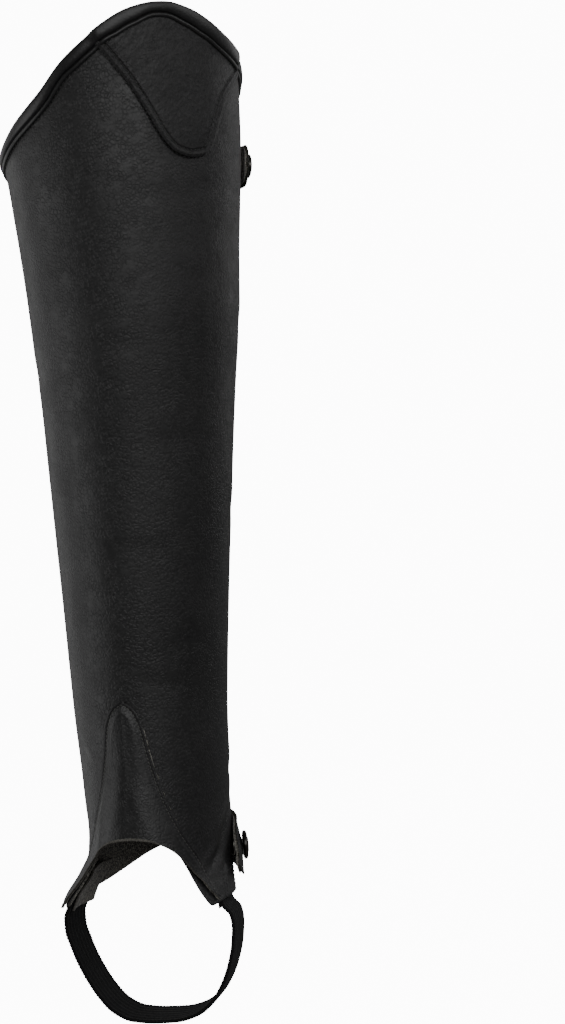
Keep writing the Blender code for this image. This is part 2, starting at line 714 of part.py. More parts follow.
def make_slider(finish) -> bpy.types.Object:
    """The slider's top plate, wider at its head, with the two ears that hold the pull's pin."""
    seat, out, up, side = zip_frame()
    half = SLIDER_HEIGHT / 2
    head, foot = SLIDER_HEAD / 2, SLIDER_FOOT / 2
    plan = [(-foot, -half), (foot, -half), (foot + 0.4, -1.0), (head, 2.5), (head, half - 1.5),
            (head - 1.5, half), (-head + 1.5, half), (-head, half - 1.5), (-head, 2.5), (-foot - 0.4, -1.0)]
    bm = bmesh.new()
    low = [bm.verts.new(seat + side * x + up * y) for x, y in plan]
    face = bm.faces.new(low)
    top = bmesh.ops.extrude_face_region(bm, geom=[face])["geom"]
    top_verts = [g for g in top if isinstance(g, bmesh.types.BMVert)]
    bmesh.ops.translate(bm, verts=top_verts, vec=out * SLIDER_THICK)
    plate = finish_mesh("zip_slider", bm, finish)
    ears = bmesh.new()
    inner, outer = BRIDGE_WIDTH / 2, BRIDGE_WIDTH / 2 + EAR_THICK
    for lo, hi in ((-outer, -inner), (inner, outer)):
        box_between(ears, seat, (side, up, out), (lo, PIN_UP - EAR_HALF, SLIDER_THICK - 0.4),
                    (hi, PIN_UP + EAR_HALF, PIN_OUT + EAR_OVER_PIN))
    axle = bmesh.ops.create_cone(ears, cap_ends=True, segments=12, radius1=PIN_RADIUS, radius2=PIN_RADIUS,
                                 depth=2 * outer - 0.4)["verts"]
    turn = Vector((0, 0, 1)).rotation_difference(side).to_matrix()
    bmesh.ops.rotate(ears, verts=axle, cent=(0, 0, 0), matrix=turn)
    bmesh.ops.translate(ears, verts=axle, vec=seat + up * PIN_UP + out * PIN_OUT)
    cutter = finish_mesh("slider_ears", ears, finish)
    union = plate.modifiers.new("ears", "BOOLEAN")
    union.operation = "UNION"
    union.use_self = True
    union.object = cutter
    cutter.hide_render = True
    cutter.display_type = "WIRE"
    return plate


def make_pull(finish) -> bpy.types.Object:
    """The pull tab: a metal blade that hangs from the slider's pin by a round eye."""
    seat, out, up, side = zip_frame()
    pivot = seat + up * PIN_UP + out * PIN_OUT
    eye_half = BRIDGE_WIDTH / 2 - BORE_CLEAR
    bore = PIN_RADIUS + BORE_CLEAR
    turns = [math.radians(a) for a in range(0, 360, 30)]
    barrel = bmesh.new()
    rings = []
    for across, radius in ((-eye_half, EYE_RADIUS), (eye_half, EYE_RADIUS), (eye_half, bore),
                           (-eye_half, bore)):
        rings.append([barrel.verts.new(pivot + side * across + up * (radius * math.sin(t))
                                       + out * (radius * math.cos(t))) for t in turns])
    for ring, after in zip(rings, rings[1:] + rings[:1]):
        for i in range(len(turns)):
            j = (i + 1) % len(turns)
            barrel.faces.new((ring[i], ring[j], after[j], after[i]))
    eye = finish_mesh("pull_eye", barrel, finish)
    wide = PULL_WIDTH / 2
    near = -0.5 * (EYE_RADIUS + bore)
    plan = [(-eye_half, near), (eye_half, near), (eye_half, -PULL_NECK), (wide, -PULL_SHOULDER),
            (wide, PULL_CORNER - PULL_LENGTH), (wide - PULL_CORNER, -PULL_LENGTH),
            (PULL_CORNER - wide, -PULL_LENGTH), (-wide, PULL_CORNER - PULL_LENGTH), (-wide, -PULL_SHOULDER),
            (-eye_half, -PULL_NECK)]
    blade = bmesh.new()
    low = [blade.verts.new(pivot + side * x + up * y - out * (PULL_THICK / 2)) for x, y in plan]
    raised = bmesh.ops.extrude_face_region(blade, geom=[blade.faces.new(low)])["geom"]
    bmesh.ops.translate(blade, verts=[g for g in raised if isinstance(g, bmesh.types.BMVert)],
                        vec=out * PULL_THICK)
    pull = finish_mesh("zip_pull", blade, finish)
    union = pull.modifiers.new("eye", "BOOLEAN")
    union.operation = "UNION"
    union.object = eye
    eye.hide_render = True
    eye.display_type = "WIRE"
    return pull


def strap_sections() -> list[list[Vector]]:
    """Sections along the elastic: sewn inside the inner corner, down, under, and up the outer side."""
    half = WEB_WIDTH / 2
    acrosses = spread(-half, half, 7)
    middle_out = -SEAM_GAP - WEB_THICK / 2

    def sewn(side: float, height: float) -> list[Vector]:
        step = degrees_per_mm(STRAP_AZIMUTH, height)
        azimuths = [side * (STRAP_AZIMUTH + v * step) for v in acrosses]
        outer = [place(a, height, middle_out + WEB_THICK / 2) for a in azimuths]
        inner = [place(a, height, middle_out - WEB_THICK / 2) for a in azimuths]
        return outer + inner[::-1]

    def free(index: int) -> list[Vector]:
        point = STRAP_ROUTE[index]
        before = STRAP_ROUTE[max(index - 1, 0)]
        after = STRAP_ROUTE[min(index + 1, len(STRAP_ROUTE) - 1)]
        run = Vector((after.across - before.across, 0, after.height - before.height)).normalized()
        reach = max(abs(p.across) for p in STRAP_ROUTE)
        splay = math.radians(STRAP_SPLAY * point.across / reach)
        tilt = math.radians(STRAP_TILT) * (1 - (point.across / reach) ** 2)
        backwards = Vector((-math.sin(splay), math.cos(splay), math.sin(tilt))).normalized()
        away = backwards.cross(run).normalized()
        middle = Vector((point.across, STRAP_Y, point.height))
        outer = [middle + backwards * v + away * (WEB_THICK / 2) for v in acrosses]
        inner = [middle + backwards * v - away * (WEB_THICK / 2) for v in acrosses]
        return outer + inner[::-1]

    inner_hem = hem_at(-STRAP_AZIMUTH)
    outer_hem = hem_at(STRAP_AZIMUTH)
    rises = [STRAP_SEWN, 0.66 * STRAP_SEWN, 0.33 * STRAP_SEWN, 0.5, -STRAP_CLEAR]
    start = [sewn(-1.0, inner_hem + rise) for rise in rises]
    stop = [sewn(1.0, outer_hem + rise) for rise in reversed(rises)]
    return start + [free(i) for i in range(len(STRAP_ROUTE))] + stop


def make_strap(finish) -> bpy.types.Object:
    """The elastic stirrup strap."""
    return loft("stirrup_strap", strap_sections(), finish)


def main() -> None:
    for old in list(bpy.data.objects):
        bpy.data.objects.remove(old, do_unlink=True)
    grained = material("grained_leather", (0.022, 0.022, 0.023), 0.48)
    smooth = material("smooth_leather", (0.020, 0.020, 0.021), 0.42)
    binding = material("binding_leather", (0.019, 0.019, 0.020), 0.40)
    tab_leather = material("tab_leather", (0.024, 0.024, 0.024), 0.50)
    tape = material("zip_tape", (0.015, 0.015, 0.016), 0.85)
    teeth = material("zip_teeth", (0.028, 0.028, 0.030), 0.45)
    metal = material("black_metal", (0.06, 0.06, 0.055), 0.30, 1.0)
    brass = material("dull_metal", (0.35, 0.34, 0.30), 0.32, 1.0)
    webbing = material("elastic", (0.014, 0.014, 0.015), 0.80)
    make_shell(grained)
    make_patch(smooth)
    make_tongue(smooth.copy())
    make_binding(binding)
    make_zip_tape("zip_tape_outer", 1.0, tape)
    make_zip_tape("zip_tape_inner", -1.0, tape.copy())
    make_zip_chain(teeth)
    make_tab("snap_tab_top", TOP_TAB, tab_leather)
    make_tab("snap_tab_bottom", BOTTOM_TAB, tab_leather.copy())
    make_snap("top", TOP_TAB, metal, brass)
    make_snap("bottom", BOTTOM_TAB, metal.copy(), brass.copy())
    make_slider(metal.copy())
    make_pull(metal.copy())
    make_strap(webbing)


main()
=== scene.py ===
"""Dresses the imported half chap: leather, backing, sewing, zip, snaps and elastic, with its studio and camera.

Lengths are millimetres until a mesh is made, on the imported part's own axes: +Z up the leg, -Y the shin,
+X the outer side. A place on the leg is an azimuth (0 at the shin, positive towards the outer side), a
height, and a distance out from the shell's inner face.
"""

import logging
import math
from dataclasses import dataclass
from enum import Enum
from typing import Callable, ClassVar, NamedTuple, Sequence

import bmesh
import bpy
import numpy as np
from mathutils import Matrix, Vector

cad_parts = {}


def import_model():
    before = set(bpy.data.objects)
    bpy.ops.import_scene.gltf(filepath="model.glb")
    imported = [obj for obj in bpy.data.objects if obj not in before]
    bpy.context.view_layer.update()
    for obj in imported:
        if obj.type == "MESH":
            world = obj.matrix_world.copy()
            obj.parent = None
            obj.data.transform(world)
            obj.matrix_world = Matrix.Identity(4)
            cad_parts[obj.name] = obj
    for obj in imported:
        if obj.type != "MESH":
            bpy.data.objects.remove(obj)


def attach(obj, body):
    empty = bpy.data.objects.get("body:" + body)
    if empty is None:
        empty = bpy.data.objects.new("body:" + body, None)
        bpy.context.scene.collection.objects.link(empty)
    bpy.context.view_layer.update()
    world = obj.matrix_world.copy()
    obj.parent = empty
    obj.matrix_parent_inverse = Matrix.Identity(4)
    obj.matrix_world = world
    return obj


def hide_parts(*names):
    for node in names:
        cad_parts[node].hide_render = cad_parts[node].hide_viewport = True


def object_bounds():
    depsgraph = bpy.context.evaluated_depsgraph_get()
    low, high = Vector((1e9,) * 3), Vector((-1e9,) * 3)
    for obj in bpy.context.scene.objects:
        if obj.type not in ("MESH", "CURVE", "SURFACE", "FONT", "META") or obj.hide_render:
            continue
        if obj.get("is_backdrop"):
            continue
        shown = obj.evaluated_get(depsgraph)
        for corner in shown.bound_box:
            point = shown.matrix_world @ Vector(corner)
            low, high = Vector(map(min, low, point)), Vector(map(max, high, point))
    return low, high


MM = 0.001
LOG = logging.getLogger("half_chap")
ROOT_BODY = "chap"
PULL_BODY = "pull"

Array = np.ndarray
Mapping = Callable[[Array, Array], Array]


class Side(Enum):
    """The two sides of the leg, as signs of the azimuth."""
    OUTER = 1.0
    INNER = -1.0


class Level(NamedTuple):
    """The leg's form at one height, as the shell's inner face."""
    height: float
    half_width: float
    front: float
    back: float
    widest: float
    side: float


class TopEdge(NamedTuple):
    """The rolled top edge at one azimuth: its crest, and how far down the roll reaches outside."""
    azimuth: float
    crest: float
    roll: float


class Edge(NamedTuple):
    """A cut edge at one azimuth."""
    azimuth: float
    height: float


class Tab(NamedTuple):
    """A snap tab from its sewn root behind the zip to its rounded tip."""
    root_azimuth: float
    tip_azimuth: float
    root_height: float
    tip_height: float
    root_half: float
    tip_half: float
    tip_out: float
    upper_out: float
    snap_back: float
    cap_radius: float


class RidgePoint(NamedTuple):
    """A point of the binding's sewn ridge: its distance off the leather, and how far above the ridge's foot."""
    out: float
    above: float


class RimPoint(NamedTuple):
    """A point of a snap cap's section: how far in from its widest part, and its rise from its seat."""
    inwards: float
    rise: float


class RoutePoint(NamedTuple):
    """A point on the elastic's middle line below the hem."""
    across: float
    height: float


class Crease(NamedTuple):
    """A soft trough pressed into the leather; lean is its turn from level, in degrees."""
    azimuth: float
    height: float
    length: float
    lean: float
    depth: float
    width: float
    bow: float = 0.0


LEVELS = (
    Level(130, 58.4, 62.0, 61.5, 0.0, -0.6), Level(60, 58.0, 62.0, 62.5, 0.0, -0.6),
    Level(25, 55.1, 60.5, 61.0, 0.0, 0.3), Level(0, 52.7, 58.5, 59.5, 0.0, 0.9),
    Level(-35, 50.0, 56.5, 57.5, 0.0, 1.7), Level(-75, 46.2, 53.5, 54.5, 0.0, 1.1),
    Level(-115, 43.3, 51.0, 52.0, 0.0, 0.4), Level(-175, 39.1, 48.5, 48.5, 0.0, -0.5),
    Level(-225, 36.0, 46.5, 46.5, 0.0, -0.9), Level(-255, 34.3, 47.0, 45.8, 0.0, 0.0),
    Level(-275, 33.2, 48.5, 45.0, 0.0, 0.5), Level(-285, 32.6, 49.6, 44.6, -1.0, 1.1),
    Level(-297, 32.5, 51.0, 44.2, -3.5, 1.3), Level(-308, 34.6, 52.5, 43.5, -11.0, 0.2),
    Level(-318, 38.3, 54.0, 42.5, -20.0, -0.8), Level(-328, 41.0, 55.0, 41.5, -26.0, -1.0),
    Level(-340, 42.0, 56.0, 41.0, -28.0, -1.0),
)
TOP_EDGE = (
    TopEdge(-90, 44, 7.0), TopEdge(-68, 47.5, 6.8), TopEdge(-53, 52, 7.2), TopEdge(-35, 62, 10.0),
    TopEdge(-20, 72.5, 11.2), TopEdge(-8, 85, 11.2), TopEdge(4, 95, 11.0), TopEdge(13, 102, 11.2),
    TopEdge(24, 108, 9.8), TopEdge(35, 110.9, 7.7), TopEdge(41, 111.3, 8.0), TopEdge(52, 109.2, 9.9),
    TopEdge(62, 105.4, 11.0), TopEdge(73, 100.2, 10.8), TopEdge(86, 95.2, 10.6), TopEdge(104, 88.4, 9.0),
    TopEdge(125, 79.5, 7.5), TopEdge(150, 69, 7.0), TopEdge(180, 58, 7.0), TopEdge(215, 48, 7.0),
    TopEdge(245, 44.5, 7.0),
)
SHELL_HEM = (
    Edge(0, -231), Edge(4, -233), Edge(8, -240), Edge(11, -251), Edge(15, -265), Edge(22, -278.5),
    Edge(32, -290.5), Edge(43, -301.2), Edge(48.5, -306.6), Edge(54, -312.8), Edge(60, -319),
    Edge(66.5, -323), Edge(74, -322.4), Edge(90, -321), Edge(108, -320.4), Edge(124, -317.5),
    Edge(136, -313.3), Edge(152, -306.8), Edge(166, -303.3), Edge(180, -302.3),
)
TONGUE_SEAM = (
    Edge(0, -221.8), Edge(5, -223.5), Edge(9, -226.3), Edge(14, -234.5), Edge(17, -245.5),
    Edge(22, -259), Edge(29, -273), Edge(39.5, -287.4), Edge(53, -300.4), Edge(64, -311.7),
    Edge(71.5, -319),
)
TONGUE_HEM = (
    Edge(0, -288.7), Edge(14, -289.8), Edge(24, -292.6), Edge(33.5, -297), Edge(45, -304.8),
    Edge(55, -311.6), Edge(64, -317.6), Edge(71.5, -321.8),
)
PATCH_SEAM = (
    Edge(8, 92), Edge(10.5, 88.6), Edge(14.1, 83.5), Edge(17.7, 78.4), Edge(22.6, 71.1), Edge(26.5, 64.4),
    Edge(30.4, 57.3), Edge(33.6, 51.2), Edge(36.6, 46.3), Edge(39.8, 42.2), Edge(44, 39),
    Edge(51.5, 37.4), Edge(58.5, 38.6), Edge(62.8, 41.2), Edge(66.4, 46.6), Edge(69.2, 53.4),
    Edge(72.4, 59.6), Edge(76.2, 66.8), Edge(82.7, 73.2), Edge(90.5, 79.2),
)
STRAP_ROUTE = (
    RoutePoint(-41.6, -329.5), RoutePoint(-41.4, -335), RoutePoint(-39.2, -342.5),
    RoutePoint(-36.2, -350.5), RoutePoint(-32.0, -358.8), RoutePoint(-26.6, -367.2),
    RoutePoint(-19.6, -374.6), RoutePoint(-10.3, -378.8), RoutePoint(0.0, -379.6),
    RoutePoint(11.0, -379.2), RoutePoint(21.5, -376.6), RoutePoint(29.4, -371.2),
    RoutePoint(35.4, -362.8), RoutePoint(39.4, -353.5), RoutePoint(42.0, -343), RoutePoint(42.8, -334),
    RoutePoint(41.8, -328),
)
RIDGE = (
    RidgePoint(0.45, -0.05), RidgePoint(0.8, 0.25), RidgePoint(1.05, 0.7), RidgePoint(1.12, 1.15),
    RidgePoint(1.0, 1.65), RidgePoint(0.7, 2.0), RidgePoint(0.38, 2.3),
)
ROLL_TURNS = (8, 20, 34, 50, 66, 82, 98, 114, 130, 144)
CAP_RIM = (
    RimPoint(1.4, -0.3), RimPoint(0.6, -0.12), RimPoint(0.08, 0.12), RimPoint(0.0, 0.4), RimPoint(0.0, 1.1),
    RimPoint(0.12, 1.45), RimPoint(0.5, 1.75), RimPoint(1.1, 1.95), RimPoint(1.7, 2.0), RimPoint(2.1, 1.85),
    RimPoint(2.35, 1.55), RimPoint(2.9, 1.5), RimPoint(3.1, 1.7), RimPoint(3.3, 2.2),
)
LIP_SHARE = 0.45
LIP_OFF = 1.9
INNER_CORNER_DROP = 2.6
INNER_SAG = 3.5
SAG_START = 20.0
DROP_START = 30.0
CREST_OVER_EDGE = 2.4
LEATHER = 1.6
SEAM_GAP = 0.35
PATCH_LEATHER = 1.1
TONGUE_GAP = 0.5
TONGUE_LEATHER = 1.4
ZIP_AZIMUTH = 140.0
SLIT_HALF = 3.5
STRAP_AZIMUTH = 96.0
STRAP_SEWN = 13.0
WEB_WIDTH = 25.0


class SmoothCurve:
    """A monotone cubic through (place, value) points, kept as fine samples."""

    SAMPLES = 3001

    def __init__(self, points: Sequence[tuple[float, float]], period: float = 0.0) -> None:
        """Works the samples out.

        Args:
            points: Pairs of place and value, in any order.
            period: Length after which the curve repeats, or 0.
        """
        pairs = sorted(points)
        if period:
            pairs = [(x - period, y) for x, y in pairs] + pairs + [(x + period, y) for x, y in pairs]
        xs = np.array([p[0] for p in pairs], float)
        ys = np.array([p[1] for p in pairs], float)
        steps = np.diff(xs)
        rises = np.diff(ys) / steps
        slopes = np.zeros(len(xs))
        slopes[0], slopes[-1] = rises[0], rises[-1]
        for i in range(1, len(xs) - 1):
            if rises[i - 1] * rises[i] > 0:
                before = 2 * steps[i] + steps[i - 1]
                after = steps[i] + 2 * steps[i - 1]
                slopes[i] = (before + after) / (before / rises[i - 1] + after / rises[i])
        self.places = np.linspace(xs[0], xs[-1], self.SAMPLES)
        cell = np.clip(np.searchsorted(xs, self.places, side="right") - 1, 0, len(steps) - 1)
        t = (self.places - xs[cell]) / steps[cell]
        self.values = ((2 * t ** 3 - 3 * t ** 2 + 1) * ys[cell]
                       + (t ** 3 - 2 * t ** 2 + t) * steps[cell] * slopes[cell]
                       + (3 * t ** 2 - 2 * t ** 3) * ys[cell + 1]
                       + (t ** 3 - t ** 2) * steps[cell] * slopes[cell + 1])

    def __call__(self, place: Array | float) -> Array:
        """Reads the curve at one or many places."""
        return np.interp(place, self.places, self.values)


def smoothstep(t: Array | float) -> Array:
    """0 to 1 with soft ends."""
    t = np.clip(t, 0.0, 1.0)
    return t * t * (3 - 2 * t)


def hump(place: Array, middle: Array | float, width: float) -> Array:
    """A soft hump of height 1 round a middle."""
    return np.exp(-((place - middle) / width) ** 2)


def both_sides(edges: Sequence[Edge], drop: float = 0.0, sag: float = 0.0) -> list[tuple[float, float]]:
    """An edge for both sides of the shin.

    Args:
        edges: The outer side's edge, from the shin round.
        drop: How much lower the inner side's corner is.
        sag: How much lower the inner side is half-way to its corner.

    Returns:
        Pairs of azimuth and height.
    """
    last = max(e.azimuth for e in edges if e.azimuth <= 90)
    outer = [(e.azimuth, e.height) for e in edges]
    inner = []
    for e in edges:
        if 0 < e.azimuth < 180:
            down = drop * float(smoothstep((e.azimuth - DROP_START) / (last - DROP_START)))
            share = min(max((e.azimuth - SAG_START) / (last - SAG_START), 0.0), 1.0)
            inner.append((-e.azimuth, e.height - down - sag * math.sin(math.pi * share) ** 2))
    return outer + inner


class LegForm:
    """The egg-shaped levels that every piece lies on, and the edges drawn on them."""

    def __init__(self) -> None:
        """Makes a curve of each measure."""
        self.half_width = SmoothCurve([(v.height, v.half_width) for v in LEVELS])
        self.front = SmoothCurve([(v.height, v.front) for v in LEVELS])
        self.back = SmoothCurve([(v.height, v.back) for v in LEVELS])
        self.widest = SmoothCurve([(v.height, v.widest) for v in LEVELS])
        self.side = SmoothCurve([(v.height, v.side) for v in LEVELS])
        self.crest = SmoothCurve([(v.azimuth, v.crest) for v in TOP_EDGE], 360)
        self.roll = SmoothCurve([(v.azimuth, v.roll) for v in TOP_EDGE], 360)
        self.hem = SmoothCurve(both_sides(SHELL_HEM), 360)
        self.tongue_seam = SmoothCurve(both_sides(TONGUE_SEAM, INNER_CORNER_DROP / 2))
        self.tongue_hem = SmoothCurve(both_sides(TONGUE_HEM, INNER_CORNER_DROP, INNER_SAG))
        self.patch_seam = SmoothCurve([(v.azimuth, v.height) for v in PATCH_SEAM])

    def on_form(self, azimuth: Array | float, height: Array | float) -> Array:
        """Points on the shell's inner face.

        Args:
            azimuth: Azimuths, in degrees.
            height: Heights, in millimetres.

        Returns:
            One point for each pair, in the last axis.
        """
        azimuth, height = np.broadcast_arrays(np.asarray(azimuth, float), np.asarray(height, float))
        a = np.radians(azimuth)
        widest = self.widest(height)
        reach = np.where(np.cos(a) > 0, self.front(height) + widest, self.back(height) - widest)
        across = self.side(height) + self.half_width(height) * np.sin(a)
        return np.stack((across, widest - reach * np.cos(a), height), axis=-1)

    def outwards(self, azimuth: Array | float, height: Array | float) -> Array:
        """Unit normals of the form.

        Args:
            azimuth: Azimuths, in degrees.
            height: Heights, in millimetres.

        Returns:
            One vector for each pair, in the last axis.
        """
        azimuth, height = np.asarray(azimuth, float), np.asarray(height, float)
        around = self.on_form(azimuth + 0.3, height) - self.on_form(azimuth - 0.3, height)
        upwards = self.on_form(azimuth, height + 0.8) - self.on_form(azimuth, height - 0.8)
        normal = np.cross(around, upwards)
        return normal / np.linalg.norm(normal, axis=-1, keepdims=True)

    def place(self, azimuth: Array | float, height: Array | float, out: Array | float) -> Array:
        """Points at a distance out from the shell's inner face."""
        return self.on_form(azimuth, height) + self.outwards(azimuth, height) * np.asarray(out)[..., None]

    def degrees_per_mm(self, azimuth: Array | float, height: Array | float) -> Array:
        """Azimuth that one millimetre round the form takes up.

        Args:
            azimuth: Azimuths, in degrees.
            height: Heights, in millimetres.

        Returns:
            Degrees for each millimetre.
        """
        azimuth = np.asarray(azimuth, float)
        chord = self.on_form(azimuth + 0.5, height) - self.on_form(azimuth - 0.5, height)
        return 1.0 / np.linalg.norm(chord, axis=-1)

    def shell_edge(self, azimuth: Array | float) -> Array:
        """The shell's cut top edge, under the binding's crest."""
        return self.crest(azimuth) - CREST_OVER_EDGE

    def slant(self, edge: SmoothCurve, azimuth: Array | float) -> tuple[Array, Array]:
        """How an edge lies on the form.

        Args:
            edge: The edge's curve of height.
            azimuth: Where to read it.

        Returns:
            Its rise for each millimetre round the form, and the length of a level millimetre along it.
        """
        azimuth = np.asarray(azimuth, float)
        per_mm = self.degrees_per_mm(azimuth, edge(azimuth))
        rise = (edge(azimuth + 0.5) - edge(azimuth - 0.5)) * per_mm
        return rise, np.hypot(1.0, rise)

    def beside_edge(self, edge: SmoothCurve, azimuth: Array | float,
                    inwards: Array | float) -> tuple[Array, Array]:
        """Places beside an edge, measured square to it.

        Args:
            edge: The edge's curve of height.
            azimuth: Where on the edge.
            inwards: Distance below the edge, or above it if negative.

        Returns:
            Azimuths and heights.
        """
        rise, length = self.slant(edge, azimuth)
        per_mm = self.degrees_per_mm(azimuth, edge(azimuth))
        return azimuth + inwards * rise / length * per_mm, edge(azimuth) - inwards / length

    def off_edge(self, edge: SmoothCurve, span: tuple[float, float], azimuth: Array, height: Array) -> Array:
        """Distances from an edge to places on the form.

        Args:
            edge: The edge's curve of height.
            span: The azimuths between which the edge runs.
            azimuth: Azimuths of the places.
            height: Heights of the places.

        Returns:
            The shortest distance of each place from the edge, in millimetres.
        """
        along = np.linspace(span[0], span[1], 420)
        line = self.on_form(along, edge(along))
        places = self.on_form(azimuth, height).reshape(-1, 3)
        nearest = [np.sqrt(((part[:, None, :] - line[None, :, :]) ** 2).sum(axis=-1).min(axis=1))
                   for part in np.array_split(places, max(len(places) // 2000, 1))]
        return np.concatenate(nearest).reshape(np.shape(azimuth))


FORM = LegForm()


SHELL_CREASES = (
    Crease(78, -296, 34, 52, 0.9, 3.6, 3.0), Crease(84, -287, 30, 44, 0.6, 3.2, 2.5),
    Crease(70, -303, 20, 40, 0.5, 2.6, 1.5), Crease(-80, -297, 32, -50, 0.8, 3.6, -3.0),
    Crease(-86, -285, 26, -42, 0.5, 3.2, -2.0), Crease(104, -276, 36, 30, 0.45, 4.2, 3.0),
    Crease(120, -262, 40, 12, 0.5, 4.5, -2.0), Crease(-112, -268, 44, -14, 0.55, 4.5, 3.0),
    Crease(-150, -250, 50, 6, 0.6, 5.0, -3.0), Crease(-178, -232, 46, -8, 0.5, 5.0, 3.0),
    Crease(-135, -214, 40, 10, 0.4, 4.5, 2.0), Crease(165, -224, 42, 14, 0.5, 4.6, -2.5),
    Crease(30, -214, 34, -12, 0.25, 4.0, 1.5), Crease(52, -196, 40, 8, 0.25, 4.5, -2.0),
    Crease(18, -148, 38, -6, 0.22, 4.5, 2.0), Crease(-24, -176, 32, 10, 0.22, 4.0, -1.5),
    Crease(44, -96, 46, 5, 0.22, 5.0, 2.5), Crease(8, -52, 40, -8, 0.2, 5.0, -2.0),
    Crease(60, -18, 44, 7, 0.22, 5.0, 2.0), Crease(30, 18, 50, 2, 0.28, 4.5, -2.5),
    Crease(14, 26, 30, -4, 0.22, 4.0, 1.5), Crease(62, 22, 34, 6, 0.24, 4.2, -1.5),
    Crease(-60, -60, 40, -6, 0.22, 5.0, 2.0), Crease(-95, -110, 48, 8, 0.3, 5.0, -2.5),
    Crease(-130, -60, 52, -5, 0.35, 5.5, 3.0), Crease(-165, -120, 54, 7, 0.4, 5.5, -3.0),
    Crease(170, -150, 44, -9, 0.4, 5.0, 2.5), Crease(-172, 5, 48, 4, 0.35, 5.5, 3.0),
    Crease(-120, 12, 44, -8, 0.3, 5.0, -2.0), Crease(112, -130, 40, 9, 0.3, 5.0, 2.0),
    Crease(104, -40, 44, -6, 0.28, 5.0, -2.5), Crease(-40, -250, 22, -38, 0.3, 3.2, 1.0),
)


def crease_depth(creases: Sequence[Crease], azimuth: Array, height: Array) -> Array:
    """How far the creases push the leather in.

    Args:
        creases: The troughs.
        azimuth: Where to read them.
        height: Where to read them.

    Returns:
        Depths in millimetres, 0 away from the creases.
    """
    total = np.zeros(np.broadcast(azimuth, height).shape)
    for crease in creases:
        per_mm = float(FORM.degrees_per_mm(crease.azimuth, crease.height))
        around = (np.asarray(azimuth) - crease.azimuth + 180) % 360 - 180
        across, up = around / per_mm, height - crease.height
        lean = math.radians(crease.lean)
        along = across * math.cos(lean) + up * math.sin(lean)
        off = up * math.cos(lean) - across * math.sin(lean)
        off = off - crease.bow * ((2 * along / crease.length) ** 2 - 0.5)
        fade = 1.0 - smoothstep((np.abs(along) / (0.5 * crease.length) - 0.35) / 0.65)
        lip = LIP_SHARE * hump(off, LIP_OFF * crease.width, crease.width)
        total += crease.depth * fade * (hump(off, 0.0, crease.width) - lip)
    return total


def soft_waves(azimuth: Array, height: Array, size: float) -> Array:
    """Slow, uneven swell of a hand-lasted leather, in millimetres.

    Args:
        azimuth: Azimuths, in degrees.
        height: Heights, in millimetres.
        size: About how high the swell is.

    Returns:
        How far the leather stands out.
    """
    a = np.radians(azimuth)
    return size * (0.5 * np.sin(3.1 * a + height / 31.0 + 0.6) + 0.35 * np.sin(7.0 * a - height / 17.0 + 1.9)
                   + 0.25 * np.sin(11.0 * a + height / 11.5) + 0.2 * np.cos(5.0 * a - height / 8.3 + 0.4))


def corner_swell(azimuth: Array, height: Array) -> Array:
    """The raised leather over the elastic's sewn ends, at both lower corners.

    Args:
        azimuth: Azimuths, in degrees.
        height: Heights, in millimetres.

    Returns:
        How far the leather stands out, in millimetres.
    """
    total = np.zeros(np.broadcast(azimuth, height).shape)
    for side in Side:
        azimuth_0 = side.value * STRAP_AZIMUTH
        around = (np.asarray(azimuth) - azimuth_0) / float(FORM.degrees_per_mm(azimuth_0, FORM.hem(azimuth_0)))
        rise = height - FORM.hem(azimuth_0)
        beside = 1.0 - smoothstep((np.abs(around) - 0.42 * WEB_WIDTH) / 3.0)
        above = 1.0 - smoothstep((rise - STRAP_SEWN + 1.0) / 3.2)
        total += 0.95 * beside * above
    return total


def set_places(bm: bmesh.types.BMesh, places: Array) -> None:
    """Moves a bmesh's vertices to places in millimetres, in their own order."""
    for vert, place in zip(bm.verts, places):
        vert.co = place * MM


def grid(columns: Sequence[float], rows: Sequence[float], mapping: Mapping) -> bmesh.types.BMesh:
    """A grid laid through a mapping, with a UV map of its columns' and rows' measures.

    Args:
        columns: The first measure at each column of vertices.
        rows: The second measure at each row.
        mapping: Turns arrays of the two measures into places in millimetres.

    Returns:
        The bmesh, its faces on the side that columns cross rows gives.
    """
    bm = bmesh.new()
    uv = bm.loops.layers.uv.new("UVMap")
    bmesh.ops.create_grid(bm, x_segments=len(columns) - 1, y_segments=len(rows) - 1, size=1.0)
    flat = np.array([vert.co for vert in bm.verts])
    i = np.rint((flat[:, 0] + 1) / 2 * (len(columns) - 1)).astype(int)
    j = np.rint((flat[:, 1] + 1) / 2 * (len(rows) - 1)).astype(int)
    first, second = np.asarray(columns, float)[i], np.asarray(rows, float)[j]
    set_places(bm, mapping(first, second))
    bm.verts.index_update()
    for face in bm.faces:
        face.smooth = True
        for loop in face.loops:
            k = loop.vert.index
            loop[uv].uv = (first[k], second[k])
    return bm


def spread(count: int, edge: float) -> Array:
    """Even shares from 0 to 1, with two more close beside each end.

    Args:
        count: How many even shares.
        edge: How far the further one of the two lies from its end.

    Returns:
        The shares in order.
    """
    close = (0.3 * edge, edge)
    return np.array(sorted({*np.linspace(0.0, 1.0, count), *close, *(1.0 - share for share in close)}))


def stretch_uv(bm: bmesh.types.BMesh, wide: float, high: float) -> None:
    """Stretches a grid's UV map, so that a weave can read it in millimetres.

    Args:
        bm: The grid's bmesh.
        wide: What the first measure is multiplied by.
        high: What the second measure is multiplied by.
    """
    uv = bm.loops.layers.uv.active
    for face in bm.faces:
        for loop in face.loops:
            loop[uv].uv = (loop[uv].uv[0] * wide, loop[uv].uv[1] * high)


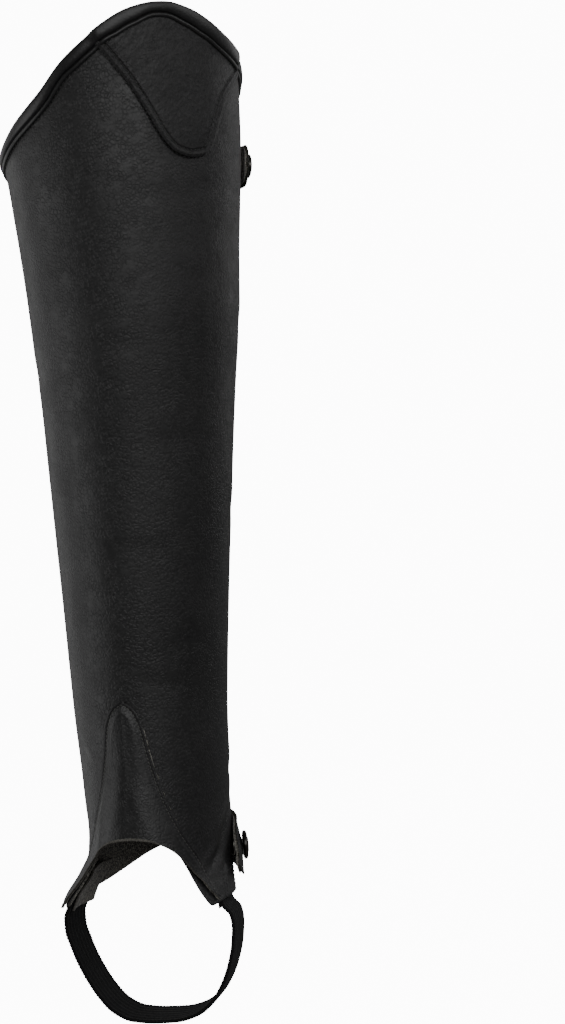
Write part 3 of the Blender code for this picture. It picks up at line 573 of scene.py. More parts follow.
def spun(profile: Sequence[tuple[float, float, float]], axis: tuple[float, float, float], steps: int,
         merge: float) -> bmesh.types.BMesh:
    """A form made by turning a line of points once round an axis through the origin.

    Args:
        profile: The line's points.
        axis: The axis that it turns about.
        steps: How many steps the turn has.
        merge: Distance under which points are joined, at the poles and the seam.

    Returns:
        The bmesh, in the unit of the points.
    """
    bm = bmesh.new()
    line = [bm.verts.new(point) for point in profile]
    edges = [bm.edges.new(pair) for pair in zip(line, line[1:])]
    bmesh.ops.spin(bm, geom=line + edges, cent=(0, 0, 0), axis=axis, angle=2 * math.pi, steps=steps,
                   use_merge=True)
    bmesh.ops.remove_doubles(bm, verts=bm.verts, dist=merge)
    return bm


def local_frame(middle: Array, normal: Array) -> Matrix:
    """A frame at a place on the form: across it, up it and out of it.

    Args:
        middle: The place, in millimetres.
        normal: The form's outward normal there.

    Returns:
        The frame's matrix in metres, of unit size.
    """
    out = Vector(normal)
    across = Vector((0, 0, 1)).cross(out).normalized()
    turn = Matrix((across, out.cross(across), out)).transposed().to_4x4()
    return Matrix.Translation(Vector(middle) * MM) @ turn


def edge_round(distance: Array, radius: float) -> Array:
    """How far a face drops beside a cut edge that is rounded over.

    Args:
        distance: Distance from the edge.
        radius: The rounding's radius.

    Returns:
        The drop, 0 past the radius.
    """
    t = np.clip(1.0 - distance / radius, 0.0, 1.0)
    return radius * (1.0 - np.sqrt(1.0 - 0.92 * t * t))


class NodeBench:
    """Short calls for laying out one material's nodes."""

    def __init__(self, name: str) -> None:
        """Starts a material with its Principled shader."""
        self.material = bpy.data.materials.new(name)
        self.material.use_nodes = True
        self.tree = self.material.node_tree
        self.shader = self.tree.nodes["Principled BSDF"]

    def node(self, kind: str, **settings: object) -> bpy.types.Node:
        """Adds a node and sets its properties."""
        made = self.tree.nodes.new(kind)
        for key, value in settings.items():
            setattr(made, key, value)
        return made

    def feed(self, value: object, socket: bpy.types.NodeSocket) -> None:
        """Links a socket, or sets a constant, on an input."""
        if isinstance(value, bpy.types.NodeSocket):
            self.tree.links.new(value, socket)
        elif value is not None:
            socket.default_value = value

    def coordinates(self, stretch: tuple[float, float, float] = (1, 1, 1), uv: bool = False,
                    turn: float = 0.0) -> bpy.types.NodeSocket:
        """Object or UV coordinates, turned about Y and then stretched.

        Args:
            stretch: How much longer the pattern is along each axis.
            uv: Reads the UV map instead of the object.
            turn: The turn about Y, in degrees.

        Returns:
            The vector socket.
        """
        source = self.node("ShaderNodeTexCoord").outputs["UV" if uv else "Object"]
        mapping = self.node("ShaderNodeMapping", vector_type="TEXTURE")
        self.feed(source, mapping.inputs["Vector"])
        mapping.inputs["Scale"].default_value = stretch
        mapping.inputs["Rotation"].default_value = (0, math.radians(turn), 0)
        return mapping.outputs["Vector"]

    def noise(self, vector: bpy.types.NodeSocket, scale: float, detail: float = 3.0, rough: float = 0.5,
              distortion: float = 0.0) -> bpy.types.NodeSocket:
        """A noise texture's factor.

        Args:
            vector: The coordinates.
            scale: Cells for each metre.
            detail: Finer layers.
            rough: How strong those are.
            distortion: How far the cells are pulled.

        Returns:
            The factor's socket.
        """
        made = self.node("ShaderNodeTexNoise")
        self.feed(vector, made.inputs["Vector"])
        for key, value in (("Scale", scale), ("Detail", detail), ("Roughness", rough), ("Distortion", distortion)):
            made.inputs[key].default_value = value
        return made.outputs["Fac"]

    def cells(self, vector: bpy.types.NodeSocket, scale: float, feature: str) -> bpy.types.NodeSocket:
        """A Voronoi texture's distance.

        Args:
            vector: The coordinates.
            scale: Cells for each metre.
            feature: What is measured.

        Returns:
            The distance's socket.
        """
        made = self.node("ShaderNodeTexVoronoi", feature=feature)
        self.feed(vector, made.inputs["Vector"])
        made.inputs["Scale"].default_value = scale
        made.inputs["Randomness"].default_value = 1.0
        return made.outputs["Distance"]

    def wave(self, vector: bpy.types.NodeSocket, scale: float, direction: str,
             distortion: float) -> bpy.types.NodeSocket:
        """A wave texture's factor along X or Y.

        Args:
            vector: The coordinates.
            scale: The bands' rate.
            direction: The axis that they cross.
            distortion: How far they are pulled.

        Returns:
            The factor's socket.
        """
        made = self.node("ShaderNodeTexWave", wave_type="BANDS", bands_direction=direction)
        self.feed(vector, made.inputs["Vector"])
        for key, value in (("Scale", scale), ("Distortion", distortion), ("Detail", 1.0)):
            made.inputs[key].default_value = value
        return made.outputs["Fac"]

    def sums(self, operation: str, first: object, second: object = None) -> bpy.types.NodeSocket:
        """A Math node's value."""
        made = self.node("ShaderNodeMath", operation=operation)
        self.feed(first, made.inputs[0])
        self.feed(second, made.inputs[1])
        return made.outputs["Value"]

    def span(self, value: bpy.types.NodeSocket, low: float, high: float, to_low: float,
             to_high: float) -> bpy.types.NodeSocket:
        """A value mapped from one range to another, clamped.

        Args:
            value: The value.
            low, high: Its range.
            to_low, to_high: The range that it is mapped to.

        Returns:
            The result's socket.
        """
        made = self.node("ShaderNodeMapRange")
        self.feed(value, made.inputs["Value"])
        for key, number in (("From Min", low), ("From Max", high), ("To Min", to_low), ("To Max", to_high)):
            made.inputs[key].default_value = number
        return made.outputs["Result"]

    def blend(self, factor: bpy.types.NodeSocket, first: object, second: object) -> bpy.types.NodeSocket:
        """A mix of two colours."""
        made = self.node("ShaderNodeMix", data_type="RGBA")
        self.feed(factor, made.inputs[0])
        self.feed(first, made.inputs[6])
        self.feed(second, made.inputs[7])
        return made.outputs[2]

    def bump(self, height: bpy.types.NodeSocket, strength: float, distance: float,
             under: bpy.types.NodeSocket | None = None) -> bpy.types.NodeSocket:
        """A bump over an earlier one.

        Args:
            height: The height's socket.
            strength: Its share.
            distance: Its depth in metres.
            under: The earlier bump's normal.

        Returns:
            The normal's socket.
        """
        made = self.node("ShaderNodeBump")
        self.feed(height, made.inputs["Height"])
        made.inputs["Strength"].default_value = strength
        made.inputs["Distance"].default_value = distance
        self.feed(under, made.inputs["Normal"])
        return made.outputs["Normal"]

    def finish(self, colour: object, roughness: object, normal: bpy.types.NodeSocket | None = None,
               **constants: float) -> bpy.types.Material:
        """Feeds the shader and hands the material over.

        Args:
            colour: A colour or a socket.
            roughness: A number or a socket.
            normal: The last bump's normal.
            **constants: Other sockets' numbers, with underscores for the spaces of their names.

        Returns:
            The finished material.
        """
        self.feed(colour, self.shader.inputs["Base Color"])
        self.feed(roughness, self.shader.inputs["Roughness"])
        self.feed(normal, self.shader.inputs["Normal"])
        for key, value in constants.items():
            self.shader.inputs[key.replace("_", " ")].default_value = value
        return self.material


def rgba(colour: Sequence[float]) -> tuple[float, float, float, float]:
    """A colour with its alpha."""
    return (colour[0], colour[1], colour[2], 1.0)


@dataclass(frozen=True)
class LeatherFinish:
    """Black leather: fine pebbles in a net of short creases, over slow dull and bright patches, with painted shade
    darkening the colour along the creases.
    """
    name: str
    colour: tuple[float, float, float] = (0.0105, 0.0105, 0.0108)
    worn: tuple[float, float, float] = (0.017, 0.017, 0.017)
    # Share of the colour that is left in the painted shade along the creases.
    painted_crease_shade: float = 0.45
    roughness: float = 0.42
    shine: float = 0.5
    pebbles: float = 0.5
    net: float = 0.6
    wrinkles: float = 0.0
    wrinkle_turn: float = 0.0

    def build(self) -> bpy.types.Material:
        """Makes the material."""
        bench = NodeBench(self.name)
        place = bench.coordinates()
        drift = bench.noise(place, 26.0, 2.0)
        fine = bench.noise(place, 2300.0, 2.0, 0.6)
        warped = self.warp(bench, place)
        cells = bench.cells(warped, 900.0, "SMOOTH_F1")
        net = bench.cells(warped, 560.0, "DISTANCE_TO_EDGE")
        ditch = bench.span(net, 0.0, 0.2, 0.0, 1.0)
        broken = bench.span(bench.noise(place, 170.0, 3.0, 0.6), 0.3, 0.5, 0.0, 1.0)
        ditch = bench.sums("MAXIMUM", ditch, bench.sums("SUBTRACT", 1.0, broken))
        normal = bench.bump(bench.sums("MULTIPLY", cells, -1.0), self.pebbles * 0.4, 0.0003)
        normal = bench.bump(ditch, self.net * 0.75, 0.0003, normal)
        normal = bench.bump(fine, self.pebbles * 0.2, 0.00012, normal)
        if self.wrinkles:
            turned = bench.coordinates((1.0, 1.0, 4.0), turn=self.wrinkle_turn)
            folds = bench.noise(turned, 520.0, 2.5, 0.6, 0.8)
            ridge = bench.sums("ABSOLUTE", bench.sums("SUBTRACT", folds, 0.5))
            normal = bench.bump(bench.span(ridge, 0.0, 0.16, 0.0, 1.0), self.wrinkles, 0.0004, normal)
        colour = bench.blend(bench.span(drift, 0.35, 0.7, 0.0, 1.0), rgba(self.colour), rgba(self.worn))
        # Painted shade: the colour is darkened along the net's creases.
        dark = rgba([self.painted_crease_shade * c for c in self.colour])
        colour = bench.blend(bench.sums("MULTIPLY", bench.sums("SUBTRACT", 1.0, ditch), 0.8), colour, dark)
        rough = bench.span(bench.noise(place, 60.0, 4.0, 0.6), 0.3, 0.7,
                           self.roughness - 0.05, self.roughness + 0.07)
        return bench.finish(colour, rough, normal, Specular_IOR_Level=self.shine)

    def warp(self, bench: NodeBench, place: bpy.types.NodeSocket) -> bpy.types.NodeSocket:
        """Coordinates pushed about a little, so that the net's lines aren't straight."""
        push = bench.node("ShaderNodeTexNoise")
        bench.feed(place, push.inputs["Vector"])
        push.inputs["Scale"].default_value = 420.0
        small = bench.node("ShaderNodeVectorMath", operation="MULTIPLY")
        bench.feed(push.outputs["Color"], small.inputs[0])
        small.inputs[1].default_value = (0.0016, 0.0016, 0.0016)
        both = bench.node("ShaderNodeVectorMath", operation="ADD")
        bench.feed(place, both.inputs[0])
        bench.feed(small.outputs["Vector"], both.inputs[1])
        return both.outputs["Vector"]


@dataclass(frozen=True)
class BackingFinish:
    """The leather's brushed inner face: grey-brown fibres with light and dark specks."""
    name: str = "brushed_backing"
    dark: tuple[float, float, float] = (0.020, 0.0185, 0.016)
    light: tuple[float, float, float] = (0.50, 0.475, 0.42)

    def build(self) -> bpy.types.Material:
        """Makes the material."""
        bench = NodeBench(self.name)
        place = bench.coordinates()
        specks = bench.noise(place, 1250.0, 4.0, 0.8)
        fibres = bench.noise(bench.coordinates((1.0, 1.0, 2.5)), 2200.0, 2.0, 0.7, 0.8)
        mixed = bench.sums("ADD", bench.sums("MULTIPLY", specks, 0.65), bench.sums("MULTIPLY", fibres, 0.35))
        colour = bench.blend(bench.span(mixed, 0.44, 0.60, 0.0, 1.0), rgba(self.dark), rgba(self.light))
        normal = bench.bump(mixed, 0.8, 0.0006)
        return bench.finish(colour, 0.95, normal, Specular_IOR_Level=0.2, Sheen_Weight=0.35, Sheen_Roughness=0.5)


@dataclass(frozen=True)
class RawEdgeFinish:
    """A cut leather edge: lighter, dry and fibrous."""
    name: str
    dark: tuple[float, float, float] = (0.04, 0.0385, 0.034)
    light: tuple[float, float, float] = (0.20, 0.19, 0.17)

    def build(self) -> bpy.types.Material:
        """Makes the material."""
        bench = NodeBench(self.name)
        place = bench.coordinates()
        fibres = bench.noise(place, 1700.0, 3.0, 0.7, 0.5)
        colour = bench.blend(bench.span(fibres, 0.35, 0.65, 0.0, 1.0), rgba(self.dark), rgba(self.light))
        return bench.finish(colour, 0.85, bench.bump(fibres, 0.6, 0.0003), Specular_IOR_Level=0.3)


@dataclass(frozen=True)
class ThreadFinish:
    """Bonded thread with a fine twist."""
    name: str = "thread"
    colour: tuple[float, float, float] = (0.012, 0.012, 0.012)
    roughness: float = 0.4

    def build(self) -> bpy.types.Material:
        """Makes the material."""
        bench = NodeBench(self.name)
        twist = bench.noise(bench.coordinates(), 3200.0, 1.0)
        colour = bench.blend(twist, rgba(self.colour), rgba([2.2 * c for c in self.colour]))
        return bench.finish(colour, self.roughness, bench.bump(twist, 0.4, 0.0001), Sheen_Weight=0.15)


@dataclass(frozen=True)
class WovenFinish:
    """A woven band read from its UV map in millimetres: ribs along it and picks across it.

    A wave texture of scale 1 has a band for every 2 pi / BAND_RATE of its coordinate.
    """
    BAND_RATE: ClassVar[float] = 20.0
    name: str
    colour: tuple[float, float, float]
    light: tuple[float, float, float]
    rib: float
    pick: float
    depth: float

    def build(self) -> bpy.types.Material:
        """Makes the material."""
        bench = NodeBench(self.name)
        place = bench.coordinates(uv=True)
        ribs = bench.wave(place, 2 * math.pi / (self.BAND_RATE * self.rib), "X", 0.2)
        picks = bench.wave(place, 2 * math.pi / (self.BAND_RATE * self.pick), "Y", 0.5)
        lint = bench.noise(bench.coordinates(), 2400.0, 3.0, 0.7)
        weave = bench.sums("ADD", bench.sums("MULTIPLY", ribs, 0.65), bench.sums("MULTIPLY", picks, 0.35))
        tone = bench.sums("ADD", bench.sums("MULTIPLY", weave, 0.6), bench.sums("MULTIPLY", lint, 0.4))
        colour = bench.blend(bench.span(tone, 0.25, 0.8, 0.0, 1.0), rgba(self.colour), rgba(self.light))
        normal = bench.bump(weave, 0.9, self.depth)
        normal = bench.bump(lint, 0.25, 0.0002, normal)
        return bench.finish(colour, 0.82, normal, Specular_IOR_Level=0.25, Sheen_Weight=0.04, Sheen_Roughness=0.4)


@dataclass(frozen=True)
class MetalFinish:
    """Lacquered or plated metal with faint brushing and wear."""
    name: str
    colour: tuple[float, float, float]
    worn: tuple[float, float, float]
    roughness: float
    metallic: float = 1.0
    coat: float = 0.0

    def build(self) -> bpy.types.Material:
        """Makes the material."""
        bench = NodeBench(self.name)
        place = bench.coordinates()
        wear = bench.span(bench.noise(place, 420.0, 4.0, 0.65), 0.5, 0.72, 0.0, 1.0)
        colour = bench.blend(wear, rgba(self.colour), rgba(self.worn))
        rough = bench.span(bench.noise(place, 900.0, 3.0, 0.6), 0.3, 0.7,
                           self.roughness - 0.05, self.roughness + 0.1)
        normal = bench.bump(bench.noise(place, 1400.0, 2.0), 0.12, 0.0002)
        return bench.finish(colour, rough, normal, Metallic=self.metallic, Coat_Weight=self.coat,
                            Coat_Roughness=0.12)


@dataclass(frozen=True)
class NylonFinish:
    """Moulded nylon, for the zip's teeth."""
    name: str = "zip_nylon"
    colour: tuple[float, float, float] = (0.018, 0.018, 0.019)

    def build(self) -> bpy.types.Material:
        """Makes the material."""
        bench = NodeBench(self.name)
        grain = bench.noise(bench.coordinates(), 1800.0, 2.0)
        colour = bench.blend(grain, rgba(self.colour), rgba([1.8 * c for c in self.colour]))
        return bench.finish(colour, 0.42, bench.bump(grain, 0.15, 0.0001))


@dataclass(frozen=True)
class StageFinish:
    """The pale floor and wall."""
    name: str = "stage_paper"
    colour: tuple[float, float, float] = (0.93, 0.93, 0.93)
    glow: float = 12.0

    def build(self) -> bpy.types.Material:
        """Makes the material."""
        bench = NodeBench(self.name)
        self_light = bench.finish(rgba(self.colour), 0.9, Emission_Strength=self.glow, Specular_IOR_Level=0.0)
        bench.shader.inputs["Emission Color"].default_value = (1, 1, 1, 1)
        return self_light


class Finishes:
    """Every finish, built once."""

    def __init__(self) -> None:
        """Builds the materials."""
        self.shell = LeatherFinish("grained_leather").build()
        self.patch = LeatherFinish("patch_leather", shine=0.42, net=0.3, wrinkles=0.45, wrinkle_turn=48.0).build()
        self.tongue = LeatherFinish("tongue_leather", net=0.4, pebbles=0.55, roughness=0.38).build()
        self.binding = LeatherFinish("binding_leather", net=0.15, pebbles=0.3, roughness=0.36).build()
        self.tab = LeatherFinish("tab_leather", net=0.3, pebbles=0.5).build()
        self.backing = BackingFinish().build()
        self.raw_edge = RawEdgeFinish("raw_edge").build()
        # The tabs' edges take a darker copy of the raw edge's colours; the extra darkness is painted shade.
        self.shaded_tab_edge = RawEdgeFinish("shaded_tab_edge", dark=(0.02, 0.0195, 0.015), light=(0.055, 0.053, 0.04)).build()
        self.thread = ThreadFinish().build()
        self.grey_thread = ThreadFinish("grey_thread", (0.05, 0.049, 0.046), 0.5).build()
        self.tape = WovenFinish("zip_tape", (0.010, 0.010, 0.011), (0.028, 0.028, 0.030), 1.1, 0.7, 0.0003).build()
        self.elastic = WovenFinish("elastic", (0.0045, 0.0045, 0.005), (0.013, 0.013, 0.014), 1.25, 0.62,
                                   0.0003).build()
        self.nylon = NylonFinish().build()
        self.black_metal = MetalFinish("black_metal", (0.035, 0.035, 0.033), (0.11, 0.105, 0.09), 0.24,
                                       coat=0.4).build()
        self.dull_metal = MetalFinish("dull_metal", (0.42, 0.41, 0.37), (0.62, 0.6, 0.52), 0.3).build()


def make_piece(name: str, bm: bmesh.types.BMesh, finishes: Sequence[bpy.types.Material], slot: str,
               body: str = ROOT_BODY, sharp: float | None = None) -> bpy.types.Object:
    """Turns a bmesh in metres into a riding piece.

    Args:
        name: The piece's name.
        bm: Its mesh, which is freed.
        finishes: Its materials in slot order.
        slot: Not used.
        body: The body that it rides on.
        sharp: Angle over which edges stay sharp, in degrees, or None for all smooth.

    Returns:
        The object, at the origin.
    """
    mesh = bpy.data.meshes.new(name)
    bm.to_mesh(mesh)
    bm.free()
    for finish in finishes:
        mesh.materials.append(finish)
    mesh.shade_smooth()
    if sharp is not None:
        mesh.set_sharp_from_angle(angle=math.radians(sharp))
    piece = bpy.data.objects.new(name, mesh)
    bpy.context.collection.objects.link(piece)
    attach(piece, body)
    LOG.info("%s: %d faces on %s", name, len(mesh.polygons), body)
    return piece


def absorb(bm: bmesh.types.BMesh, part: bmesh.types.BMesh) -> None:
    """Joins a part into a bmesh, and frees the part."""
    held = bpy.data.meshes.new("held")
    part.to_mesh(held)
    part.free()
    bm.from_mesh(held)
    bpy.data.meshes.remove(held)


def bead(segments: int, rings: int) -> tuple[Array, list[tuple[int, ...]]]:
    """A unit ball's points and faces, to be copied along rows."""
    bm = bmesh.new()
    bmesh.ops.create_uvsphere(bm, u_segments=segments, v_segments=rings, radius=1.0)
    points = np.array([vert.co for vert in bm.verts])
    faces = [tuple(vert.index for vert in face.verts) for face in bm.faces]
    bm.free()
    return points, faces


def copied(points: Array, faces: Sequence[tuple[int, ...]], frames: Sequence[Matrix]) -> bmesh.types.BMesh:
    """Copies of one form, each through its own frame from unit size to metres.

    Args:
        points: The form's points.
        faces: Its faces.
        frames: One matrix for each copy.

    Returns:
        All the copies in one bmesh.
    """
    stack = np.array([[list(row) for row in frame] for frame in frames])
    placed = np.einsum("nij,kj->nki", stack[:, :3, :3], points) + stack[:, None, :3, 3]
    count = len(points)
    held = bpy.data.meshes.new("held")
    held.from_pydata(placed.reshape(-1, 3).tolist(), [],
                     [tuple(k + i * count for k in face) for i in range(len(frames)) for face in faces])
    bm = bmesh.new()
    bm.from_mesh(held)
    bpy.data.meshes.remove(held)
    return bm


def thicken(piece: bpy.types.Object, thickness: float, inner: int = 0, rim: int = 0) -> None:
    """Gives a sheet its wall, behind its face.

    Args:
        piece: The sheet.
        thickness: The wall in millimetres.
        inner: How many slots on the inner face's material is.
        rim: How many slots on the rim's material is.
    """
    wall = piece.modifiers.new("wall", "SOLIDIFY")
    wall.thickness = thickness * MM
    wall.offset = -1.0
    wall.use_even_offset = True
    wall.use_quality_normals = True
    wall.material_offset = inner
    wall.material_offset_rim = rim


class Sewing:
    """Rows of stitches, each row a joined mesh of short sunk threads."""

    SIDES = 6
    RINGS = 4

    def __init__(self, name: str, finish: bpy.types.Material, slot: str, pitch: float = 2.4,
                 length: float = 1.75, thick: float = 0.46) -> None:
        """Starts a piece of sewing.

        Args:
            name: The piece's name.
            finish: The thread's material.
            slot: A material slot's name, handed on to make_piece.
            pitch: Distance from stitch to stitch.
            length: Length of thread that shows.
            thick: The thread's thickness.
        """
        self.name, self.finish, self.slot = name, finish, slot
        self.pitch, self.length, self.thick = pitch, length, thick
        self.frames: list[Matrix] = []

    def add_run(self, azimuth: Array, height: Array, out: Array) -> None:
        """Sews along places on the form.

        Args:
            azimuth: Azimuths along the row.
            height: Heights along the row.
            out: The leather's outer face there, from the shell's inner face.
        """
        places = FORM.place(azimuth, height, out)
        normals = FORM.outwards(azimuth, height)
        run = np.concatenate(([0.0], np.cumsum(np.linalg.norm(np.diff(places, axis=0), axis=1))))
        count = max(int(run[-1] / self.pitch), 1)
        for at in (np.arange(count) + 0.5) * run[-1] / count:
            middle, before, after, normal = (np.array([np.interp(s, run, source[:, k]) for k in range(3)])
                                             for s, source in ((at, places), (at - 0.3, places),
                                                               (at + 0.3, places), (at, normals)))
            self.add_stitch(Vector(middle), Vector(after - before), Vector(normal))

    def add_stitch(self, middle: Vector, along: Vector, normal: Vector) -> None:
        """Lays one stitch, leaning a little across its row.

        Args:
            middle: Its middle, in millimetres.
            along: The row's direction.
            normal: The leather's normal.
        """
        along = along.normalized()
        across = normal.cross(along).normalized()
        along = (along + 0.12 * across).normalized()
        across = normal.cross(along).normalized()
        up = along.cross(across)
        frame = Matrix((along, across, up)).transposed().to_4x4()
        size = Matrix.Diagonal((0.5 * self.length, 0.5 * self.thick, 0.42 * self.thick, 1.0))
        place = Matrix.Translation((middle + up * (0.08 * self.thick)) * MM)
        self.frames.append(place @ frame @ Matrix.Scale(MM, 4) @ size)

    def make(self) -> bpy.types.Object:
        """Makes the piece."""
        return make_piece(self.name, copied(*bead(self.SIDES, self.RINGS), self.frames), [self.finish], self.slot)


@dataclass
class Shell:
    """The leg panel, open at the zip's slit, with the leather's brushed back inside."""
    finishes: Finishes
    columns: int = 250
    rows: int = 168
    edge: float = 0.5
    low_share: float = 0.16
    high_share: float = 0.998
    edge_shares: tuple[float, ...] = (0.0, 0.0004, 0.0012)
    top_shares: tuple[float, ...] = (0.9992, 1.0)

    def out(self, azimuth: Array, height: Array) -> Array:
        """The outer face, from the form: its swell, its creases and its corners' bulges."""
        fade = smoothstep((FORM.shell_edge(azimuth) - height) / 24.0)
        fade = fade * smoothstep((height - FORM.hem(azimuth)) / 14.0)
        slit = np.abs((azimuth - ZIP_AZIMUTH + 180) % 360 - 180)
        fade = fade * smoothstep((slit - 3.0) / 9.0)
        relief = soft_waves(azimuth, height, 0.09) * fade - crease_depth(SHELL_CREASES, azimuth, height) * fade
        return LEATHER + relief + corner_swell(azimuth, height)

    def beside_slit(self, share: Array, height: Array) -> Array:
        """Azimuths from the slit's one edge round to its other, of constant width at every height."""
        half = SLIT_HALF * FORM.degrees_per_mm(ZIP_AZIMUTH, height)
        return ZIP_AZIMUTH - 360 + half + share * (360 - 2 * half)

    def places(self, share: Array, rise: Array) -> Array:
        """Places on the outer face for shares round the leg and up it."""
        rough = ZIP_AZIMUTH - 360 + share * 360
        low, high = FORM.hem(rough), FORM.shell_edge(rough)
        height = low + (high - low) * rise
        azimuth = self.beside_slit(share, height)
        out = self.out(azimuth, height)
        near = np.minimum(height - low, high - height)
        near = np.minimum(near, np.minimum(share, 1 - share) * 360 / FORM.degrees_per_mm(ZIP_AZIMUTH, height))
        return FORM.place(azimuth, height, out - edge_round(near, self.edge))

    def make(self) -> bpy.types.Object:
        """Makes the panel."""
        around = spread(self.columns, self.edge_shares[-1])
        low_rows = np.linspace(0.0, self.low_share, self.rows // 3)
        high_rows = np.linspace(self.low_share, self.high_share, 2 * self.rows // 3)
        up = np.unique(np.concatenate((self.edge_shares, low_rows, high_rows, self.top_shares)))
        piece = make_piece("shell_leather", grid(around, up, self.places),
                           [self.finishes.shell, self.finishes.backing, self.finishes.raw_edge], "grained_leather")
        thicken(piece, LEATHER, inner=1, rim=2)
        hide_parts("shell")
        return piece


@dataclass
class KneePatch:
    """The overlay under the knee's outer side, its turned edge sewn twice."""
    finishes: Finishes
    ridge_at: float = 1.5
    ridge_high: float = 0.5
    welt_at: float = 2.85
    welt_high: float = 0.2
    groove_at: float = 3.55
    groove_deep: float = 0.45
    near_share: float = 0.18
    near_reach: float = 40.0
    near_rows: float = 6.8
    base: float = LEATHER + SEAM_GAP

    def band(self, azimuth: Array) -> Array:
        """How much wider the seam's band is on the patch's outer side than on its front side."""
        return 1.0 + 0.55 * smoothstep((azimuth - 58.0) / 14.0)

    def out(self, azimuth: Array, height: Array) -> Array:
        """The outer face: an edge ridge between two sewn grooves."""
        span = (PATCH_SEAM[0].azimuth, PATCH_SEAM[-1].azimuth)
        inside = FORM.off_edge(FORM.patch_seam, span, azimuth, height) / self.band(azimuth)
        ridge = self.ridge_high * hump(inside, self.ridge_at, 0.85)
        ridge = ridge + self.welt_high * hump(inside, self.welt_at, 0.3)
        groove = -self.groove_deep * hump(inside, self.groove_at, 0.42)
        swell = 0.3 * smoothstep((inside - self.groove_at - 0.6) / 5.0)
        return self.base + PATCH_LEATHER + ridge + groove + swell - edge_round(inside, 0.45) \
            + soft_waves(azimuth, height, 0.16) * smoothstep((inside - 4.0) / 8.0)

    def on_patch(self, azimuth: Array, height: Array) -> Array:
        """Places on the patch's outer face."""
        return FORM.place(azimuth, height, self.out(azimuth, height))

    def make(self) -> None:
        """Makes the patch and its two rows of sewing."""
        start, stop = PATCH_SEAM[0].azimuth, PATCH_SEAM[-1].azimuth
        near = self.near_share
        steps = np.concatenate((np.linspace(0.0, self.near_rows, 35) / self.near_reach,
                                np.linspace(near, 1.0, 80)))

        def places(azimuth: Array, share: Array) -> Array:
            """Places on the patch's outer face, its rows close together beside the seam."""
            low, high = FORM.patch_seam(azimuth), FORM.shell_edge(azimuth)
            _, length = FORM.slant(FORM.patch_seam, azimuth)
            reach = np.minimum(self.near_reach * length, high - low)
            far = low + near * reach + (share - near) / (1.0 - near) * (high - low - near * reach)
            return self.on_patch(azimuth, np.where(share < near, low + share * reach, far))

        piece = make_piece("knee_patch_leather", grid(np.linspace(start, stop, 170), steps, places),
                           [self.finishes.patch, self.finishes.backing, self.finishes.raw_edge], "patch_leather")
        thicken(piece, PATCH_LEATHER * 0.8, inner=1, rim=0)
        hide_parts("knee_patch")
        sewing = Sewing("patch_sewing", self.finishes.thread, "patch_leather")
        azimuth = np.linspace(start + 0.4, stop - 0.6, 400)
        for inwards in (-0.15, self.groove_at):
            at, height = FORM.beside_edge(FORM.patch_seam, azimuth, -inwards * self.band(azimuth))
            low = height < FORM.crest(at) - FORM.roll(at) - 0.3
            surface = self.out(at, height) if inwards > 0 else np.full(len(at), self.base + 0.15)
            sewing.add_run(at[low], height[low], surface[low])
        sewing.make()


class Fold(NamedTuple):
    """A soft fold that runs down the tongue: depth is inwards, and lean is in degrees for each millimetre up."""
    azimuth: float
    width: float
    depth: float
    lean: float


TONGUE_FOLDS = (
    Fold(2.0, 4.5, 0.35, 0.05), Fold(13.0, 6.0, -0.3, -0.12), Fold(38.0, 4.0, -0.75, -0.42),
    Fold(31.0, 4.0, 0.4, -0.42), Fold(-22.0, 5.0, -0.35, 0.1), Fold(-40.0, 4.0, -0.5, 0.4),
)


@dataclass
class Tongue:
    """The ankle overlay: a stitched margin round a bellied middle, with an arched raw hem."""
    finishes: Finishes
    margin: float = 2.3
    bulge: float = 2.0
    end: float = 66.0
    folds_from: float = -262.0
    sewn_share: float = 0.68
    groove_deep: float = 0.32

    def out(self, azimuth: Array, height: Array) -> Array:
        """The outer face, from the form."""
        last = TONGUE_SEAM[-1].azimuth
        inside = FORM.off_edge(FORM.tongue_seam, (-last, last), azimuth, height)
        fade = 1.0 - smoothstep((np.abs(azimuth) - self.end / 2) / (self.end / 2))
        rise = 0.3 * smoothstep((inside - self.margin) / 2.2) + 0.7 * smoothstep((inside - self.margin) / 12.0)
        groove = -self.groove_deep * hump(inside, self.sewn_share * self.margin, 0.5)
        above = height - self.folds_from
        folds = sum(fold.depth * hump(azimuth, fold.azimuth + fold.lean * above, fold.width)
                    for fold in TONGUE_FOLDS) * smoothstep((inside - self.margin) / 6.0)
        return LEATHER + TONGUE_GAP + TONGUE_LEATHER + self.bulge * rise * fade + groove - folds \
            - edge_round(inside, 0.4)

    def make(self) -> None:
        """Makes the overlay and its row of sewing."""
        last = TONGUE_SEAM[-1].azimuth
        half = np.unique(np.concatenate((np.linspace(0, 20, 60), np.linspace(20, last, 70))))
        around = np.concatenate((-half[:0:-1], half))
        edge = np.array([0, 0.003, 0.01, 0.02, 0.03])
        up = np.unique(np.concatenate((edge, np.linspace(0.03, 0.88, 54), 1 - np.linspace(0, 0.12, 26))))

        def places(azimuth: Array, share: Array) -> Array:
            """Places on the tongue's outer face, from its hem up to its seam."""
            low, high = FORM.tongue_hem(azimuth), FORM.tongue_seam(azimuth)
            height = low + (high - low) * share
            return FORM.place(azimuth, height, self.out(azimuth, height) - edge_round(height - low, 0.35))

        bm = grid(around, up, places)
        uv = bm.loops.layers.uv.active
        for face in bm.faces:
            if max(loop[uv].uv.y for loop in face.loops) <= edge[3] + 1e-6:
                face.material_index = 2
        piece = make_piece("tongue_leather", bm,
                           [self.finishes.tongue, self.finishes.backing, self.finishes.raw_edge], "tongue_leather")
        thicken(piece, TONGUE_LEATHER, inner=1, rim=2)
        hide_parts("tongue")
        sewing = Sewing("tongue_sewing", self.finishes.grey_thread, "tongue_leather", pitch=2.0, length=1.5,
                        thick=0.55)
        azimuth = np.concatenate((-half[:0:-1], half)) * (last - 1.0) / last
        at, height = FORM.beside_edge(FORM.tongue_seam, azimuth, self.sewn_share * self.margin)
        sewing.add_run(at, height, self.out(at, height))
        sewing.make()


